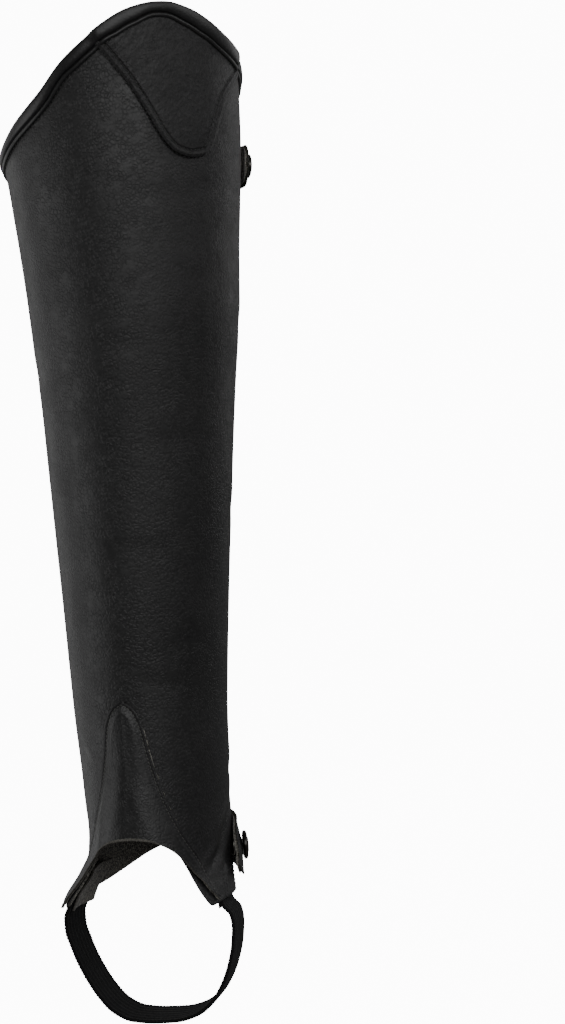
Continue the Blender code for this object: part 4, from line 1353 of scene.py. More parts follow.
@dataclass
class Binding:
    """The padded roll over the top edge, with a sewn ridge below it."""
    finishes: Finishes
    skin: float = 1.15
    inside_reach: float = 6.0
    ridge_width: float = 2.6
    fade: float = 4.0

    def cover(self, azimuth: Array) -> Array:
        """How thick the leather is that the binding wraps."""
        start, stop = PATCH_SEAM[0].azimuth, PATCH_SEAM[-1].azimuth
        share = smoothstep((azimuth - start + self.fade) / self.fade)
        share = share * smoothstep((stop + self.fade - azimuth) / self.fade)
        return LEATHER + share * (SEAM_GAP + PATCH_LEATHER)

    def profile(self, cover: float, roll: float) -> list[tuple[float, float]]:
        """The hook's section as (distance out, depth below the crest), round from the outer edge.

        Args:
            cover: Thickness of the leather inside the hook.
            roll: Depth of the roll and its ridge outside, square to the edge.

        Returns:
            The section's points.
        """
        outside, inside = cover + SEAM_GAP, -SEAM_GAP
        foot, roll = roll, roll - self.ridge_width
        points = [(outside, foot)] + [(outside + p.out, foot - p.above) for p in RIDGE]
        points += [(outside + self.skin * (0.55 + 1.1 * math.sin(t) ** 0.75), roll * (0.5 + 0.5 * math.cos(t)))
                   for t in np.radians(ROLL_TURNS)]
        points += [(0.62 * cover + 0.5, 0.12), (0.3 * cover, 0.0), (inside - 0.45 * self.skin, 0.5),
                   (inside - 0.95 * self.skin, 1.5), (inside - self.skin, 3.2),
                   (inside - 0.9 * self.skin, self.inside_reach - 0.2),
                   (inside - 0.5 * self.skin, self.inside_reach),
                   (inside, self.inside_reach), (inside, CREST_OVER_EDGE - SEAM_GAP),
                   (outside, CREST_OVER_EDGE - SEAM_GAP)]
        return points

    def make(self) -> None:
        """Makes the binding and its sewing."""
        half = SLIT_HALF * float(FORM.degrees_per_mm(ZIP_AZIMUTH, FORM.shell_edge(ZIP_AZIMUTH)))
        start, stop = ZIP_AZIMUTH - 360 + half, ZIP_AZIMUTH - half
        count = len(self.profile(1.0, 6.0))

        def places(azimuth: Array, index: Array) -> Array:
            """Places on the binding: the section's point of each index at each azimuth."""
            _, length = FORM.slant(FORM.crest, azimuth)
            roll = FORM.roll(azimuth) / length
            section = [self.profile(float(c), float(r)) for c, r in zip(self.cover(azimuth), roll)]
            pick = np.rint(index).astype(int) % count
            out = np.array([points[k][0] for points, k in zip(section, pick)])
            depth = np.array([points[k][1] for points, k in zip(section, pick)])
            at, height = FORM.beside_edge(FORM.crest, azimuth, depth)
            return FORM.place(at, height, out)

        bm = grid(np.linspace(start, stop, 330), np.arange(count + 1), places)
        bmesh.ops.remove_doubles(bm, verts=bm.verts, dist=1e-7)
        bmesh.ops.holes_fill(bm, edges=[e for e in bm.edges if e.is_boundary], sides=0)
        bmesh.ops.recalc_face_normals(bm, faces=bm.faces)
        piece = make_piece("binding_leather", bm, [self.finishes.binding], "binding_leather", sharp=60)
        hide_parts("top_binding")
        sewing = Sewing("binding_sewing", self.finishes.thread, "binding_leather")
        azimuth = np.linspace(start + 1.5, stop - 1.5, 900)
        _, length = FORM.slant(FORM.crest, azimuth)
        roll = FORM.roll(azimuth) / length
        cover = self.cover(azimuth)
        inner_row = np.full(len(azimuth), self.inside_reach - 1.4), np.full(len(azimuth), -SEAM_GAP - self.skin)
        for depth, out in ((roll - self.ridge_width, cover + SEAM_GAP + 0.42), (roll + 0.2, cover + 0.12),
                           inner_row):
            at, height = FORM.beside_edge(FORM.crest, azimuth, depth)
            sewing.add_run(at, height, out)
        sewing.make()


@dataclass
class Zip:
    """The closed zip behind the outer side: tapes, teeth, stops, slider and pull."""
    finishes: Finishes
    chain_half: float = 2.6
    tape_width: float = 12.0
    tape_thick: float = 0.8
    tape_length: float = 370.0
    tape_top_clear: float = 6.0
    foot_clear: float = 1.5
    chain_top: float = 24.0
    tooth_pitch: float = 1.35
    tooth_half: float = 1.55
    tooth_off: float = 1.15
    core_half: float = 2.3
    core_thick: float = 0.6
    stop_off: float = 1.4
    stop_size: tuple[float, float, float] = (1.9, 2.2, 2.0)
    slider_height: float = 14.0
    slider_head: float = 9.4
    slider_foot: float = 6.6
    slider_thick: float = 2.0
    slider_centre: float = 15.0
    bridge: float = 3.4
    pin_radius: float = 0.6
    pin_up: float = 3.2
    eye_radius: float = 1.6
    pull_length: float = 25.0
    pull_width: float = 8.0
    pull_thick: float = 1.3

    @property
    def foot(self) -> float:
        """Height of the chain's lower end."""
        return float(FORM.hem(ZIP_AZIMUTH)) + self.foot_clear

    def beside(self, across: Array | float, height: Array | float) -> Array:
        """The azimuth at a distance from the zip's middle, positive towards the outer side."""
        return ZIP_AZIMUTH - across * FORM.degrees_per_mm(ZIP_AZIMUTH, height)

    def make_tapes(self) -> None:
        """Makes the two woven tapes under the leather as one piece, with a corded inner edge."""
        near = self.chain_half + SEAM_GAP
        whole = bmesh.new()
        for side in Side:
            def places(across: Array, share: Array) -> Array:
                """Places on the outer face of one side's tape."""
                top = FORM.shell_edge(self.beside(side.value * across, self.chain_top)) - self.tape_top_clear
                height = self.foot + (top - self.foot) * share
                cord = 0.5 * hump(across, near + 0.7, 0.6)
                return FORM.place(self.beside(side.value * across, height), height, cord - SEAM_GAP)

            acrosses = np.linspace(near, near + self.tape_width, 16)
            one = grid(acrosses, np.linspace(0, 1, 150), places)
            stretch_uv(one, 1.0, self.tape_length)
            if side is Side.OUTER:
                bmesh.ops.reverse_faces(one, faces=one.faces)
            absorb(whole, one)
        piece = make_piece("zip_tapes", whole, [self.finishes.tape], "zip_tape")
        thicken(piece, self.tape_thick)
        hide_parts("zip_tape_outer", "zip_tape_inner")

    def make_teeth(self) -> None:
        """Makes the closed coil's teeth, left and right by turns, over a thin woven core."""
        frames = []
        count = int((self.chain_top - self.foot) / self.tooth_pitch)
        heights = self.foot + (np.arange(count) + 0.5) * self.tooth_pitch
        for side in Side:
            height = heights + 0.25 * self.tooth_pitch * side.value
            azimuth = self.beside(side.value * self.tooth_off, height)
            middles = FORM.place(azimuth, height, np.full(count, -0.1))
            normals = FORM.outwards(azimuth, height)
            size = Matrix.Diagonal((self.tooth_half * MM, 0.36 * self.tooth_pitch * MM, MM, 1.0))
            frames += [local_frame(middle, normal) @ size for middle, normal in zip(middles, normals)]
        piece = make_piece("zip_teeth", copied(*bead(8, 5), frames), [self.finishes.nylon], "zip_teeth")

        def core(across: Array, height: Array) -> Array:
            """Places on the strip under the teeth, a little crowned."""
            return FORM.place(self.beside(across, height), height, -0.55 + 0.25 * np.cos(across / 1.4))

        strip = grid(np.linspace(self.core_half, -self.core_half, 10),
                     np.linspace(self.foot, self.chain_top, 150), core)
        ribbon = make_piece("zip_core", strip, [self.finishes.tape], "zip_tape")
        thicken(ribbon, self.core_thick)
        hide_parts("zip_chain")

    def frame(self) -> tuple[Vector, Vector, Vector, Vector]:
        """The slider's seat on the zip, and its outward, upward and sideways directions."""
        seat = Vector(FORM.place(ZIP_AZIMUTH, self.slider_centre, LEATHER + SEAM_GAP))
        out = Vector(FORM.outwards(ZIP_AZIMUTH, self.slider_centre))
        up = Vector(FORM.place(ZIP_AZIMUTH, self.slider_centre + 5, 0.0)
                    - FORM.place(ZIP_AZIMUTH, self.slider_centre - 5, 0.0)).normalized()
        return seat, out, up, up.cross(out).normalized()

    def plate(self, plan: Sequence[tuple[float, float]], low: float, high: float,
              soft: float) -> bmesh.types.BMesh:
        """A flat plate with rounded edges, in the slider's own axes and millimetres.

        Args:
            plan: The outline as (sideways, up).
            low: Its underside.
            high: Its upper side.
            soft: The edges' rounding.

        Returns:
            The plate's bmesh.
        """
        bm = bmesh.new()
        face = bm.faces.new([bm.verts.new((x, y, low)) for x, y in plan])
        raised = bmesh.ops.extrude_face_region(bm, geom=[face])["geom"]
        bmesh.ops.translate(bm, verts=[g for g in raised if isinstance(g, bmesh.types.BMVert)],
                            vec=(0, 0, high - low))
        bmesh.ops.recalc_face_normals(bm, faces=bm.faces)
        bmesh.ops.bevel(bm, geom=bm.edges[:], offset=soft, segments=3, profile=0.5, affect="EDGES", material=-1)
        return bm

    def settle(self, bm: bmesh.types.BMesh, pieces: Sequence[bmesh.types.BMesh]) -> None:
        """Joins parts made in the slider's axes and places them on the zip, in metres.

        Args:
            bm: The bmesh that takes them.
            pieces: The parts, which are freed.
        """
        seat, out, up, side = self.frame()
        for part in pieces:
            absorb(bm, part)
        frame = Matrix((side, up, out)).transposed().to_4x4()
        bmesh.ops.transform(bm, matrix=Matrix.Scale(MM, 4) @ Matrix.Translation(seat) @ frame, verts=bm.verts)

    def make_slider(self) -> None:
        """Makes the slider: a waisted plate, a bridge of two ears, and the pull's pin."""
        half, head, foot = self.slider_height / 2, self.slider_head / 2, self.slider_foot / 2
        plan = [(-foot, -half), (foot, -half), (foot + 0.4, -1.0), (head, 2.5), (head, half - 1.5),
                (head - 1.5, half), (-head + 1.5, half), (-head, half - 1.5), (-head, 2.5), (-foot - 0.4, -1.0)]
        pin_out = self.slider_thick + SEAM_GAP + self.eye_radius
        parts = [self.plate(plan, 0.0, self.slider_thick, 0.4)]
        inner, outer = self.bridge / 2, self.bridge / 2 + 1.0
        for low, high in ((-outer, -inner), (inner, outer)):
            ear = [(low, self.pin_up - 1.7), (high, self.pin_up - 1.7), (high, self.pin_up + 1.7),
                   (low, self.pin_up + 1.7)]
            parts.append(self.plate(ear, self.slider_thick - 0.4, pin_out + 1.1, 0.3))
        pin = bmesh.new()
        bmesh.ops.create_cone(pin, cap_ends=True, segments=20, radius1=self.pin_radius, radius2=self.pin_radius,
                              depth=2 * outer - 0.2, matrix=Matrix.Translation((0, self.pin_up, pin_out))
                              @ Matrix.Rotation(math.pi / 2, 4, "Y"))
        parts.append(pin)
        bm = bmesh.new()
        self.settle(bm, parts)
        piece = make_piece("zip_slider_metal", bm, [self.finishes.black_metal], "black_metal", sharp=35)
        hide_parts("zip_slider")

    def make_pull(self) -> None:
        """Makes the pull: a blade hanging from its eye."""
        wide, eye = self.pull_width / 2, self.bridge / 2 - 0.35
        pin_out = self.slider_thick + SEAM_GAP + self.eye_radius
        bore = self.pin_radius + 0.35
        plan = [(-eye, -1.2), (eye, -1.2), (eye, -5.0), (wide, -8.5), (wide, 2.5 - self.pull_length),
                (wide - 0.8, 1.0 - self.pull_length), (wide - 2.5, -self.pull_length),
                (2.5 - wide, -self.pull_length), (0.8 - wide, 1.0 - self.pull_length),
                (-wide, 2.5 - self.pull_length), (-wide, -8.5), (-eye, -5.0)]
        blade = self.plate(plan, -self.pull_thick / 2, self.pull_thick / 2, 0.35)
        ring = [(-eye, bore), (-eye, self.eye_radius - 0.2), (-eye + 0.2, self.eye_radius),
                (eye - 0.2, self.eye_radius), (eye, self.eye_radius - 0.2), (eye, bore), (-eye, bore)]
        barrel = spun([(x, 0.0, r) for x, r in ring], (1, 0, 0), 28, 1e-4)
        bmesh.ops.recalc_face_normals(barrel, faces=barrel.faces)
        bm = bmesh.new()
        for part in (blade, barrel):
            bmesh.ops.translate(part, verts=part.verts, vec=(0, self.pin_up, pin_out))
        self.settle(bm, [blade, barrel])
        piece = make_piece("zip_pull_metal", bm, [self.finishes.black_metal], "black_metal", PULL_BODY, sharp=35)
        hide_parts("zip_pull")

    def make_stops(self) -> None:
        """Makes the crimped stops at the chain's ends."""
        bm = bmesh.new()
        for height in (self.foot + 1.0, self.chain_top - 0.9):
            for side in Side:
                azimuth = float(self.beside(self.stop_off * side.value, height))
                frame = local_frame(FORM.place(azimuth, height, 0.1), FORM.outwards(azimuth, height))
                size = Matrix.Diagonal((*self.stop_size, 1.0))
                made = bmesh.ops.create_cube(bm, size=MM, matrix=frame @ size)["verts"]
                edges = list({e for v in made for e in v.link_edges})
                bmesh.ops.bevel(bm, geom=edges, offset=0.35 * MM, segments=2, profile=0.5, affect="EDGES",
                                material=-1)
        make_piece("zip_stops", bm, [self.finishes.black_metal], "black_metal", sharp=40)

    def make(self) -> None:
        """Makes every piece of the zip."""
        self.make_tapes()
        self.make_teeth()
        self.make_stops()
        self.make_slider()
        self.make_pull()


@dataclass
class SnapTab:
    """A leather tab from behind the zip round to its snap on the outer side."""
    finishes: Finishes
    name: str
    tab: Tab
    leather: float = 2.0
    sewn_share: float = 0.3
    free_share: float = 0.8
    cap_height: float = 2.4
    crown_in: float = 3.7
    stud_radius: float = 4.6
    stud_waist: float = 1.1
    stud_clear: float = 0.2
    stud_least: float = 0.9

    @property
    def length(self) -> float:
        """The tab's length along the form."""
        middle = (self.tab.root_azimuth + self.tab.tip_azimuth) / 2
        return float((self.tab.root_azimuth - self.tab.tip_azimuth)
                     / FORM.degrees_per_mm(middle, self.tab.tip_height))

    def place(self, along: Array, across: Array, out: Array) -> Array:
        """Places on the tab: along it from its root, across it upwards, and out of its inner face.

        Args:
            along: Distances from the root.
            across: Distances up from the middle line.
            out: Distances out of the inner face.

        Returns:
            One point for each, in the last axis.
        """
        tab = self.tab
        share = np.asarray(along) / self.length
        azimuth = tab.root_azimuth + (tab.tip_azimuth - tab.root_azimuth) * share
        height = tab.root_height + (tab.tip_height - tab.root_height) * share + across
        stand = tab.tip_out + (tab.upper_out - tab.tip_out) * smoothstep((across / tab.tip_half + 0.1) / 0.9)
        rise = stand * smoothstep((share - self.sewn_share) / (self.free_share - self.sewn_share))
        return FORM.place(azimuth, height, LEATHER + SEAM_GAP + rise + out)

    def half(self, along: Array) -> Array:
        """Half of the tab's width, round at its tip."""
        tab = self.tab
        wide = tab.root_half + (tab.tip_half - tab.root_half) * along / self.length
        past = np.clip(along - (self.length - tab.tip_half), 0, None)
        return np.sqrt(np.maximum(wide ** 2 - (past * wide / tab.tip_half) ** 2, 0.01))

    def frame(self) -> tuple[Vector, Vector]:
        """The middle of the tab's outer face at its snap, and the face's normal."""
        along = self.length - self.tab.snap_back
        middle = self.place(along, 0.0, self.leather)
        lengthwise = self.place(along - 1, 0.0, self.leather) - self.place(along + 1, 0.0, self.leather)
        upwards = self.place(along, 1.0, self.leather) - self.place(along, -1.0, self.leather)
        return Vector(middle), Vector(np.cross(lengthwise, upwards)).normalized()

    def make_leather(self) -> None:
        """Makes the tab with its raw edges."""
        tip = self.tab.tip_half
        turns = np.radians(np.linspace(0, 87, 26))
        straight = np.linspace(0.0, self.length - tip, 44)[:-1]
        alongs = np.concatenate((straight, self.length - tip + tip * np.sin(turns)))
        shares = np.sin(np.radians(np.linspace(-90, 90, 27)))

        def places(along: Array, share: Array) -> Array:
            """Places on the tab's outer face, dished beside its rounded edge."""
            half = self.half(along)
            near = np.minimum((1 - np.abs(share)) * half, np.minimum(along + 0.02, self.length - along))
            dish = 0.125 * hump(half - np.abs(share) * half, 2.2, 0.5)
            return self.place(along, share * half, self.leather - edge_round(np.abs(near), 0.5) - dish)

        bm = grid(alongs, shares, places)
        bmesh.ops.reverse_faces(bm, faces=bm.faces)
        # The rim takes the tabs' darker edge colours, which are painted shade.
        piece = make_piece(f"tab_leather_{self.name}", bm,
                           [self.finishes.tab, self.finishes.backing, self.finishes.shaded_tab_edge], "tab_leather")
        thicken(piece, self.leather, inner=1, rim=2)
        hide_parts(f"snap_tab_{self.name}")
        2 * max(self.tab.root_half, tip) * MM
        self.length * MM

    def make_sewing(self) -> None:
        """Sews a box at the root, with a diagonal across it."""
        sewing = Sewing(f"tab_sewing_{self.name}", self.finishes.thread, "tab_leather", pitch=2.6, length=1.9)
        root = 2.2
        end = self.sewn_share * self.length + 3.0
        edge = self.tab.root_half - 2.2
        corners = [(root, -edge), (end, -edge), (end, edge), (root, edge), (root, -edge), (end, edge)]
        for (a0, c0), (a1, c1) in zip(corners, corners[1:]):
            count = 60
            along, across = np.linspace(a0, a1, count), np.linspace(c0, c1, count)
            places = self.place(along, across, self.leather)
            normals = self.place(along, across, self.leather + 1.0) - places
            run = np.concatenate(([0.0], np.cumsum(np.linalg.norm(np.diff(places, axis=0), axis=1))))
            stitches = max(int(run[-1] / sewing.pitch), 1)
            for at in (np.arange(stitches) + 0.5) * run[-1] / stitches:
                k = min(int(np.searchsorted(run, at)), count - 2)
                sewing.add_stitch(Vector(places[k]), Vector(places[k + 1] - places[k - 1]),
                                  Vector(normals[k]).normalized())
        sewing.make()

    def turned(self, name: str, profile: Sequence[tuple[float, float]], base: Vector, axis: Vector,
               finish: bpy.types.Material, slot: str) -> bpy.types.Object:
        """A turned piece, closed at both poles.

        Args:
            name: The piece's name.
            profile: Its section's points as (radius, rise), in millimetres.
            base: Where the section's rise is 0.
            axis: The direction of the rise.
            finish: Its material.
            slot: A material slot's name, handed on to make_piece.

        Returns:
            The object, at the origin.
        """
        bm = spun([(radius * MM, 0.0, rise * MM) for radius, rise in profile], (0, 0, 1), 56, 1e-7)
        bmesh.ops.recalc_face_normals(bm, faces=bm.faces)
        turn = Vector((0, 0, 1)).rotation_difference(axis).to_matrix().to_4x4()
        bmesh.ops.transform(bm, matrix=Matrix.Translation(base * MM) @ turn, verts=bm.verts)
        return make_piece(name, bm, [finish], slot, sharp=50)

    def make_snap(self) -> None:
        """Makes the cap, with its raised rim and middle, and the stud behind the tab."""
        middle, axis = self.frame()
        r = self.tab.cap_radius
        crown = r - self.crown_in
        cap = [(0, CAP_RIM[0].rise)] + [(r - p.inwards, p.rise) for p in CAP_RIM]
        cap += [(crown, self.cap_height + 0.1), (0.4 * crown, self.cap_height + 0.27), (0, self.cap_height + 0.3)]
        piece = self.turned(f"snap_cap_metal_{self.name}", cap, middle + axis * SEAM_GAP, axis,
                            self.finishes.black_metal, "black_metal")
        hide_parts(f"snap_cap_{self.name}")
        under = middle - axis * (self.leather + SEAM_GAP + self.stud_clear)
        share = 1.0 - self.tab.snap_back / self.length
        azimuth = self.tab.root_azimuth + (self.tab.tip_azimuth - self.tab.root_azimuth) * share
        height = self.tab.root_height + (self.tab.tip_height - self.tab.root_height) * share
        seat = Vector(FORM.place(azimuth, height, LEATHER + SEAM_GAP))
        depth = max((under - seat).dot(axis), self.stud_least)
        s = self.stud_radius
        stud = [(0, 0), (s - 0.3, 0), (s - 0.05, 0.12), (s, 0.3), (s, depth * 0.4), (s - 0.2, depth * 0.5),
                (s - self.stud_waist, depth * 0.58), (s - self.stud_waist, depth - 0.25), (s - 1.3, depth),
                (0, depth)]
        piece = self.turned(f"snap_stud_metal_{self.name}", stud, under - axis * depth, axis,
                            self.finishes.dull_metal, "dull_metal")
        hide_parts(f"snap_stud_{self.name}")

    def make(self) -> None:
        """Makes the tab, its sewing and its snap."""
        self.make_leather()
        self.make_sewing()
        self.make_snap()


@dataclass
class StirrupStrap:
    """The ribbed elastic under the foot, sewn inside both lower corners."""
    finishes: Finishes
    thick: float = 1.5
    y: float = -17.0
    splay: float = 4.0
    tilt: float = 5.0
    clear: float = 2.0
    scallop: float = 0.35
    scallop_pitch: float = 1.7
    rib_pitch: float = 1.9
    step: float = 0.45
    sole_height: float = -372.5

    def stations(self) -> tuple[Array, Array, Array]:
        """Middles, backward directions and outward directions of the strap's sections in order."""
        middles, backs, aways = [], [], []

        def add_sewn(side: Side, height: float) -> None:
            """Adds a section that lies inside the shell, over the corner's middle."""
            azimuth = side.value * STRAP_AZIMUTH
            step = float(FORM.degrees_per_mm(STRAP_AZIMUTH, height))
            middles.append(FORM.place(azimuth, height, -SEAM_GAP - self.thick / 2))
            run = FORM.on_form(side.value * (STRAP_AZIMUTH + step), height) \
                - FORM.on_form(side.value * (STRAP_AZIMUTH - step), height)
            backs.append(run / np.linalg.norm(run))
            aways.append(FORM.outwards(azimuth, height))

        rises = (STRAP_SEWN, 0.66 * STRAP_SEWN, 0.33 * STRAP_SEWN, 0.5, -self.clear)
        for rise in rises:
            add_sewn(Side.INNER, float(FORM.hem(-STRAP_AZIMUTH)) + rise)
        reach = max(abs(p.across) for p in STRAP_ROUTE)
        for i, point in enumerate(STRAP_ROUTE):
            before, after = STRAP_ROUTE[max(i - 1, 0)], STRAP_ROUTE[min(i + 1, len(STRAP_ROUTE) - 1)]
            run = np.array((after.across - before.across, 0.0, after.height - before.height))
            splay = math.radians(self.splay * point.across / reach)
            tilt = math.radians(self.tilt) * (1 - (point.across / reach) ** 2)
            back = np.array((-math.sin(splay), math.cos(splay), math.sin(tilt)))
            back = back / np.linalg.norm(back)
            away = np.cross(back, run)
            middles.append(np.array((point.across, self.y, point.height)))
            backs.append(back)
            aways.append(away / np.linalg.norm(away))
        for rise in reversed(rises):
            add_sewn(Side.OUTER, float(FORM.hem(STRAP_AZIMUTH)) + rise)
        return np.array(middles), np.array(backs), np.array(aways)

    def make(self) -> None:
        """Makes the strap with its picked edges."""
        middles, backs, aways = self.stations()
        run = np.concatenate(([0.0], np.cumsum(np.linalg.norm(np.diff(middles, axis=0), axis=1))))
        curves = [[SmoothCurve(list(zip(run, source[:, k]))) for k in range(3)]
                  for source in (middles, backs, aways)]

        def places(across: Array, along: Array) -> Array:
            """Places on the strap's outer face, ribbed, with scalloped edges."""
            middle, back, away = (np.stack([curve(along) for curve in three], axis=-1) for three in curves)
            edge = np.clip(np.abs(across) - 0.42, 0, None) / 0.08
            half = WEB_WIDTH + 2 * self.scallop * edge * np.sin(2 * math.pi * along / self.scallop_pitch)
            crown = self.thick / 2 - 0.35 * smoothstep((np.abs(across) - 0.44) / 0.06)
            ribs = 0.09 * np.cos(2 * math.pi * across * WEB_WIDTH / self.rib_pitch)
            return middle + back * (across * half)[:, None] + away * (crown + ribs)[:, None]

        shares = np.unique(np.concatenate((np.linspace(-0.5, 0.5, 41), [-0.488, -0.47, 0.47, 0.488])))
        bm = grid(shares, np.arange(0.0, run[-1], self.step), places)
        bmesh.ops.recalc_face_normals(bm, faces=bm.faces)
        stretch_uv(bm, WEB_WIDTH, 1.0)
        middle = bm.faces[len(bm.faces) // 2]
        if middle.calc_center_median().z < self.sole_height * MM and middle.normal.z > 0:
            bmesh.ops.reverse_faces(bm, faces=bm.faces)
        piece = make_piece("strap_elastic", bm, [self.finishes.elastic], "elastic")
        thicken(piece, self.thick)
        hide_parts("stirrup_strap")
        LOG.info("strap length %.1f mm", run[-1])


@dataclass
class CornerFacings:
    """Raw-cut leather facings inside both lower corners, over the elastic's sewn ends."""
    finishes: Finishes
    inside: float = SEAM_GAP + 1.5 + 0.3
    thick: float = 0.9
    half_width: float = 14.5
    below: float = 3.2
    above: float = 3.0

    def make(self) -> None:
        """Makes both facings, each reaching a little below the hem."""
        whole = bmesh.new()
        for side in Side:
            centre = side.value * STRAP_AZIMUTH
            per_mm = float(FORM.degrees_per_mm(centre, FORM.hem(centre)))

            def places(across: Array, share: Array) -> Array:
                """Places on one facing, with a slight wave."""
                azimuth = centre + across * per_mm
                height = FORM.hem(azimuth) - self.below + share * (self.below + STRAP_SEWN + self.above)
                bow = 0.25 * np.cos(across / 4.1) + 0.2 * np.sin(share * 7.0 + side.value)
                return FORM.place(azimuth, height, bow - self.inside)

            one = grid(np.linspace(-self.half_width, self.half_width, 40), np.linspace(0.0, 1.0, 26), places)
            absorb(whole, one)
        piece = make_piece("corner_facings", whole, [self.finishes.tongue, self.finishes.backing,
                                                     self.finishes.raw_edge], "grained_leather")
        thicken(piece, self.thick, inner=1, rim=2)


@dataclass
class PanelSewing:
    """Sewing that runs over the shell: beside the zip, and boxes over the elastic's ends."""
    finishes: Finishes
    shell: Shell

    def make(self) -> None:
        """Makes both kinds of sewing."""
        rows = Sewing("zip_sewing", self.finishes.thread, "grained_leather", pitch=2.8, length=2.0)
        for side in Side:
            for across in (SLIT_HALF + 2.0, SLIT_HALF + 9.0):
                azimuth = ZIP_AZIMUTH - side.value * across * float(FORM.degrees_per_mm(ZIP_AZIMUTH, 0.0))
                low = float(FORM.hem(azimuth)) + 2.5
                high = float(FORM.crest(azimuth) - FORM.roll(azimuth)) - 4.0
                height = np.linspace(low, high, 500)
                azimuths = ZIP_AZIMUTH - side.value * across * FORM.degrees_per_mm(ZIP_AZIMUTH, height)
                rows.add_run(azimuths, height, self.shell.out(azimuths, height))
        rows.make()
        boxes = Sewing("corner_sewing", self.finishes.thread, "grained_leather", pitch=2.0, length=1.5, thick=0.5)
        half = 0.5 * WEB_WIDTH - 2.2
        for side in Side:
            centre = side.value * STRAP_AZIMUTH
            per_mm = float(FORM.degrees_per_mm(centre, FORM.hem(centre)))
            low, high = 2.0, STRAP_SEWN - 1.6
            corners = [(-half, low), (half, low), (half, high), (-half, high), (-half, low)]
            for (x0, r0), (x1, r1) in zip(corners, corners[1:]):
                azimuth = centre + np.linspace(x0, x1, 60) * per_mm
                height = FORM.hem(azimuth) + np.linspace(r0, r1, 60)
                boxes.add_run(azimuth, height, self.shell.out(azimuth, height) - 0.05)
        boxes.make()


class Softbox(NamedTuple):
    """A soft light that faces the leg's axis; turn is degrees to the camera's right, lengths are metres."""
    name: str
    turn: float
    distance: float
    height: float
    size: tuple[float, float]
    watts: float
    aim_height: float


SOFTBOXES = (
    Softbox("front_box", 14.0, 1.7, 0.5, (2.2, 0.9), 13.5, 0.0),
    Softbox("right_fill", 80.0, 1.6, 0.75, (1.5, 0.7), 4.5, 0.12),
    Softbox("left_fill", -80.0, 1.7, -0.42, (1.3, 1.6), 9.5, -0.3),
    Softbox("left_rim", -132.0, 1.4, -0.15, (0.8, 1.8), 3.0, -0.15),
    Softbox("right_rim", 138.0, 1.3, 0.3, (0.35, 0.8), 0.9, 0.1),
)


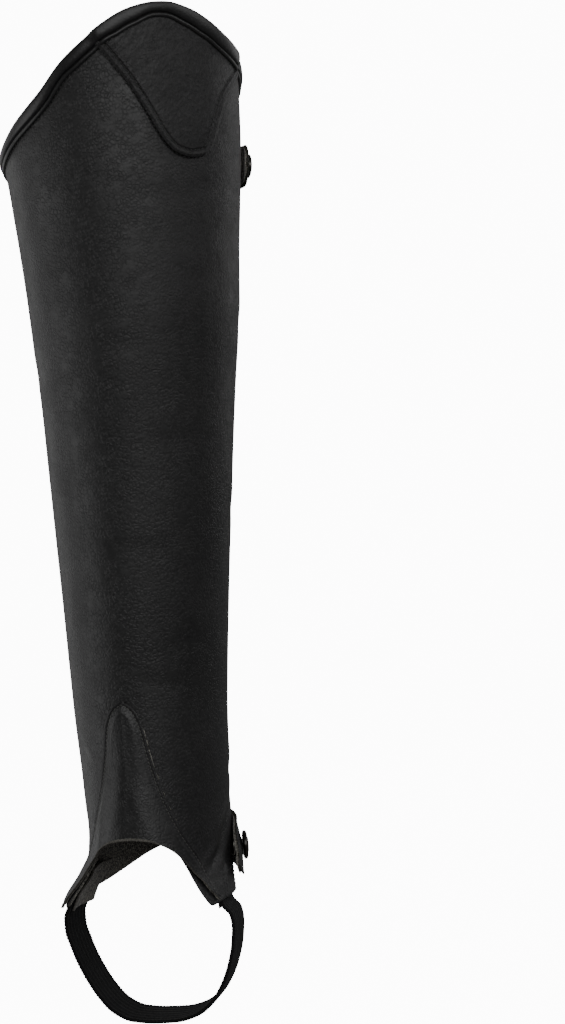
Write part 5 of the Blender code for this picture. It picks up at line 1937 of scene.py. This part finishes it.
@dataclass
class Studio:
    """The camera, the soft lights and the pale stage."""
    view_azimuth: float = 13.7
    lens: float = 85.0
    distance: float = 1.209
    aim_right: float = 0.0698
    aim_height: float = -0.135
    roll: float = -3.1
    floor: float = -0.3845
    room: float = 0.12

    def make_camera(self) -> None:
        """Sets the camera level with the leg's middle, as the photograph has it."""
        a = math.radians(self.view_azimuth)
        right = Vector((math.cos(a), math.sin(a), 0.0))
        back = Vector((math.sin(a), -math.cos(a), 0.0))
        aim = right * self.aim_right + Vector((0, 0, self.aim_height))
        data = bpy.data.cameras.new("camera")
        data.lens = self.lens
        data.sensor_width = 36.0
        data.clip_start, data.clip_end = 0.05, 20.0
        camera = bpy.data.objects.new("camera", data)
        bpy.context.collection.objects.link(camera)
        face = (-back).to_track_quat("-Z", "Y").to_matrix().to_4x4()
        turn = Matrix.Rotation(math.radians(self.roll), 4, "Z")
        camera.matrix_world = Matrix.Translation(aim + back * self.distance) @ face @ turn
        bpy.context.scene.camera = camera

    def make_stage(self) -> None:
        """Makes a round floor that curves up into a wall all round."""
        flat, bend, top, steps = 2.3, 0.5, 2.6, 64
        profile = [(0.0, 0.0), (flat, 0.0)]
        profile += [(flat + bend * math.sin(t), bend * (1 - math.cos(t)))
                    for t in np.radians(range(10, 91, 10))]
        profile.append((flat + bend, top))
        bm = spun([(x, 0.0, self.floor + z) for x, z in profile], (0, 0, 1), steps, 1e-5)
        mesh = bpy.data.meshes.new("studio_floor")
        bm.to_mesh(mesh)
        bm.free()
        mesh.shade_smooth()
        mesh.materials.append(StageFinish().build())
        floor = bpy.data.objects.new("studio_floor", mesh)
        bpy.context.collection.objects.link(floor)
        floor.visible_glossy = False
        floor.visible_diffuse = False
        floor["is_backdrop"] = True

    def add_light(self, box: Softbox) -> None:
        """Adds a softbox, hidden from the camera."""
        data = bpy.data.lights.new(box.name, "AREA")
        data.shape = "RECTANGLE"
        data.size, data.size_y = box.size
        data.energy = box.watts
        light = bpy.data.objects.new(box.name, data)
        bpy.context.collection.objects.link(light)
        a = math.radians(self.view_azimuth + box.turn)
        place = Vector((math.sin(a) * box.distance, -math.cos(a) * box.distance, box.height))
        face = (Vector((0, 0, box.aim_height)) - place).to_track_quat("-Z", "Y").to_matrix().to_4x4()
        light.matrix_world = Matrix.Translation(place) @ face
        light.visible_camera = False

    def make_lights(self) -> None:
        """Sets the dim room and the softboxes."""
        world = bpy.data.worlds.new("room")
        world.use_nodes = True
        room = world.node_tree.nodes["Background"]
        room.inputs["Color"].default_value = (1, 1, 1, 1)
        room.inputs["Strength"].default_value = self.room
        bpy.context.scene.world = world
        for box in SOFTBOXES:
            self.add_light(box)

    def make(self) -> None:
        """Makes the camera, stage and lights."""
        self.make_camera()
        self.make_stage()
        self.make_lights()


TOP_TAB = Tab(root_azimuth=158, tip_azimuth=110.5, root_height=42, tip_height=42, root_half=12, tip_half=10.3,
              tip_out=1.9, upper_out=1.9, snap_back=10.5, cap_radius=6.2)
BOTTOM_TAB = Tab(root_azimuth=157, tip_azimuth=95, root_height=-293.5, tip_height=-303, root_half=11.5,
                 tip_half=15.5, tip_out=3.4, upper_out=0.6, snap_back=13.5, cap_radius=7.2)


def corners(bounds: tuple[Vector, Vector]) -> list[list[float]]:
    """A box's two corners as plain lists."""
    return [[float(v) for v in corner] for corner in bounds]


def main() -> None:
    """Builds the scene in order."""
    logging.basicConfig(level=logging.INFO, format="%(relativeCreated)d ms %(message)s")
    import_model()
    cad_box = corners(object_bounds())
    Studio().make()
    finishes = Finishes()
    shell = Shell(finishes)
    zip_pieces = Zip(finishes)
    zip_pieces.make()
    shell.make()
    KneePatch(finishes).make()
    Tongue(finishes).make()
    Binding(finishes).make()
    PanelSewing(finishes, shell).make()
    SnapTab(finishes, "top", TOP_TAB).make()
    SnapTab(finishes, "bottom", BOTTOM_TAB).make()
    StirrupStrap(finishes).make()
    CornerFacings(finishes).make()
    {"cad": cad_box, "visual": corners(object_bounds())}


if __name__ == "__main__":
    main()
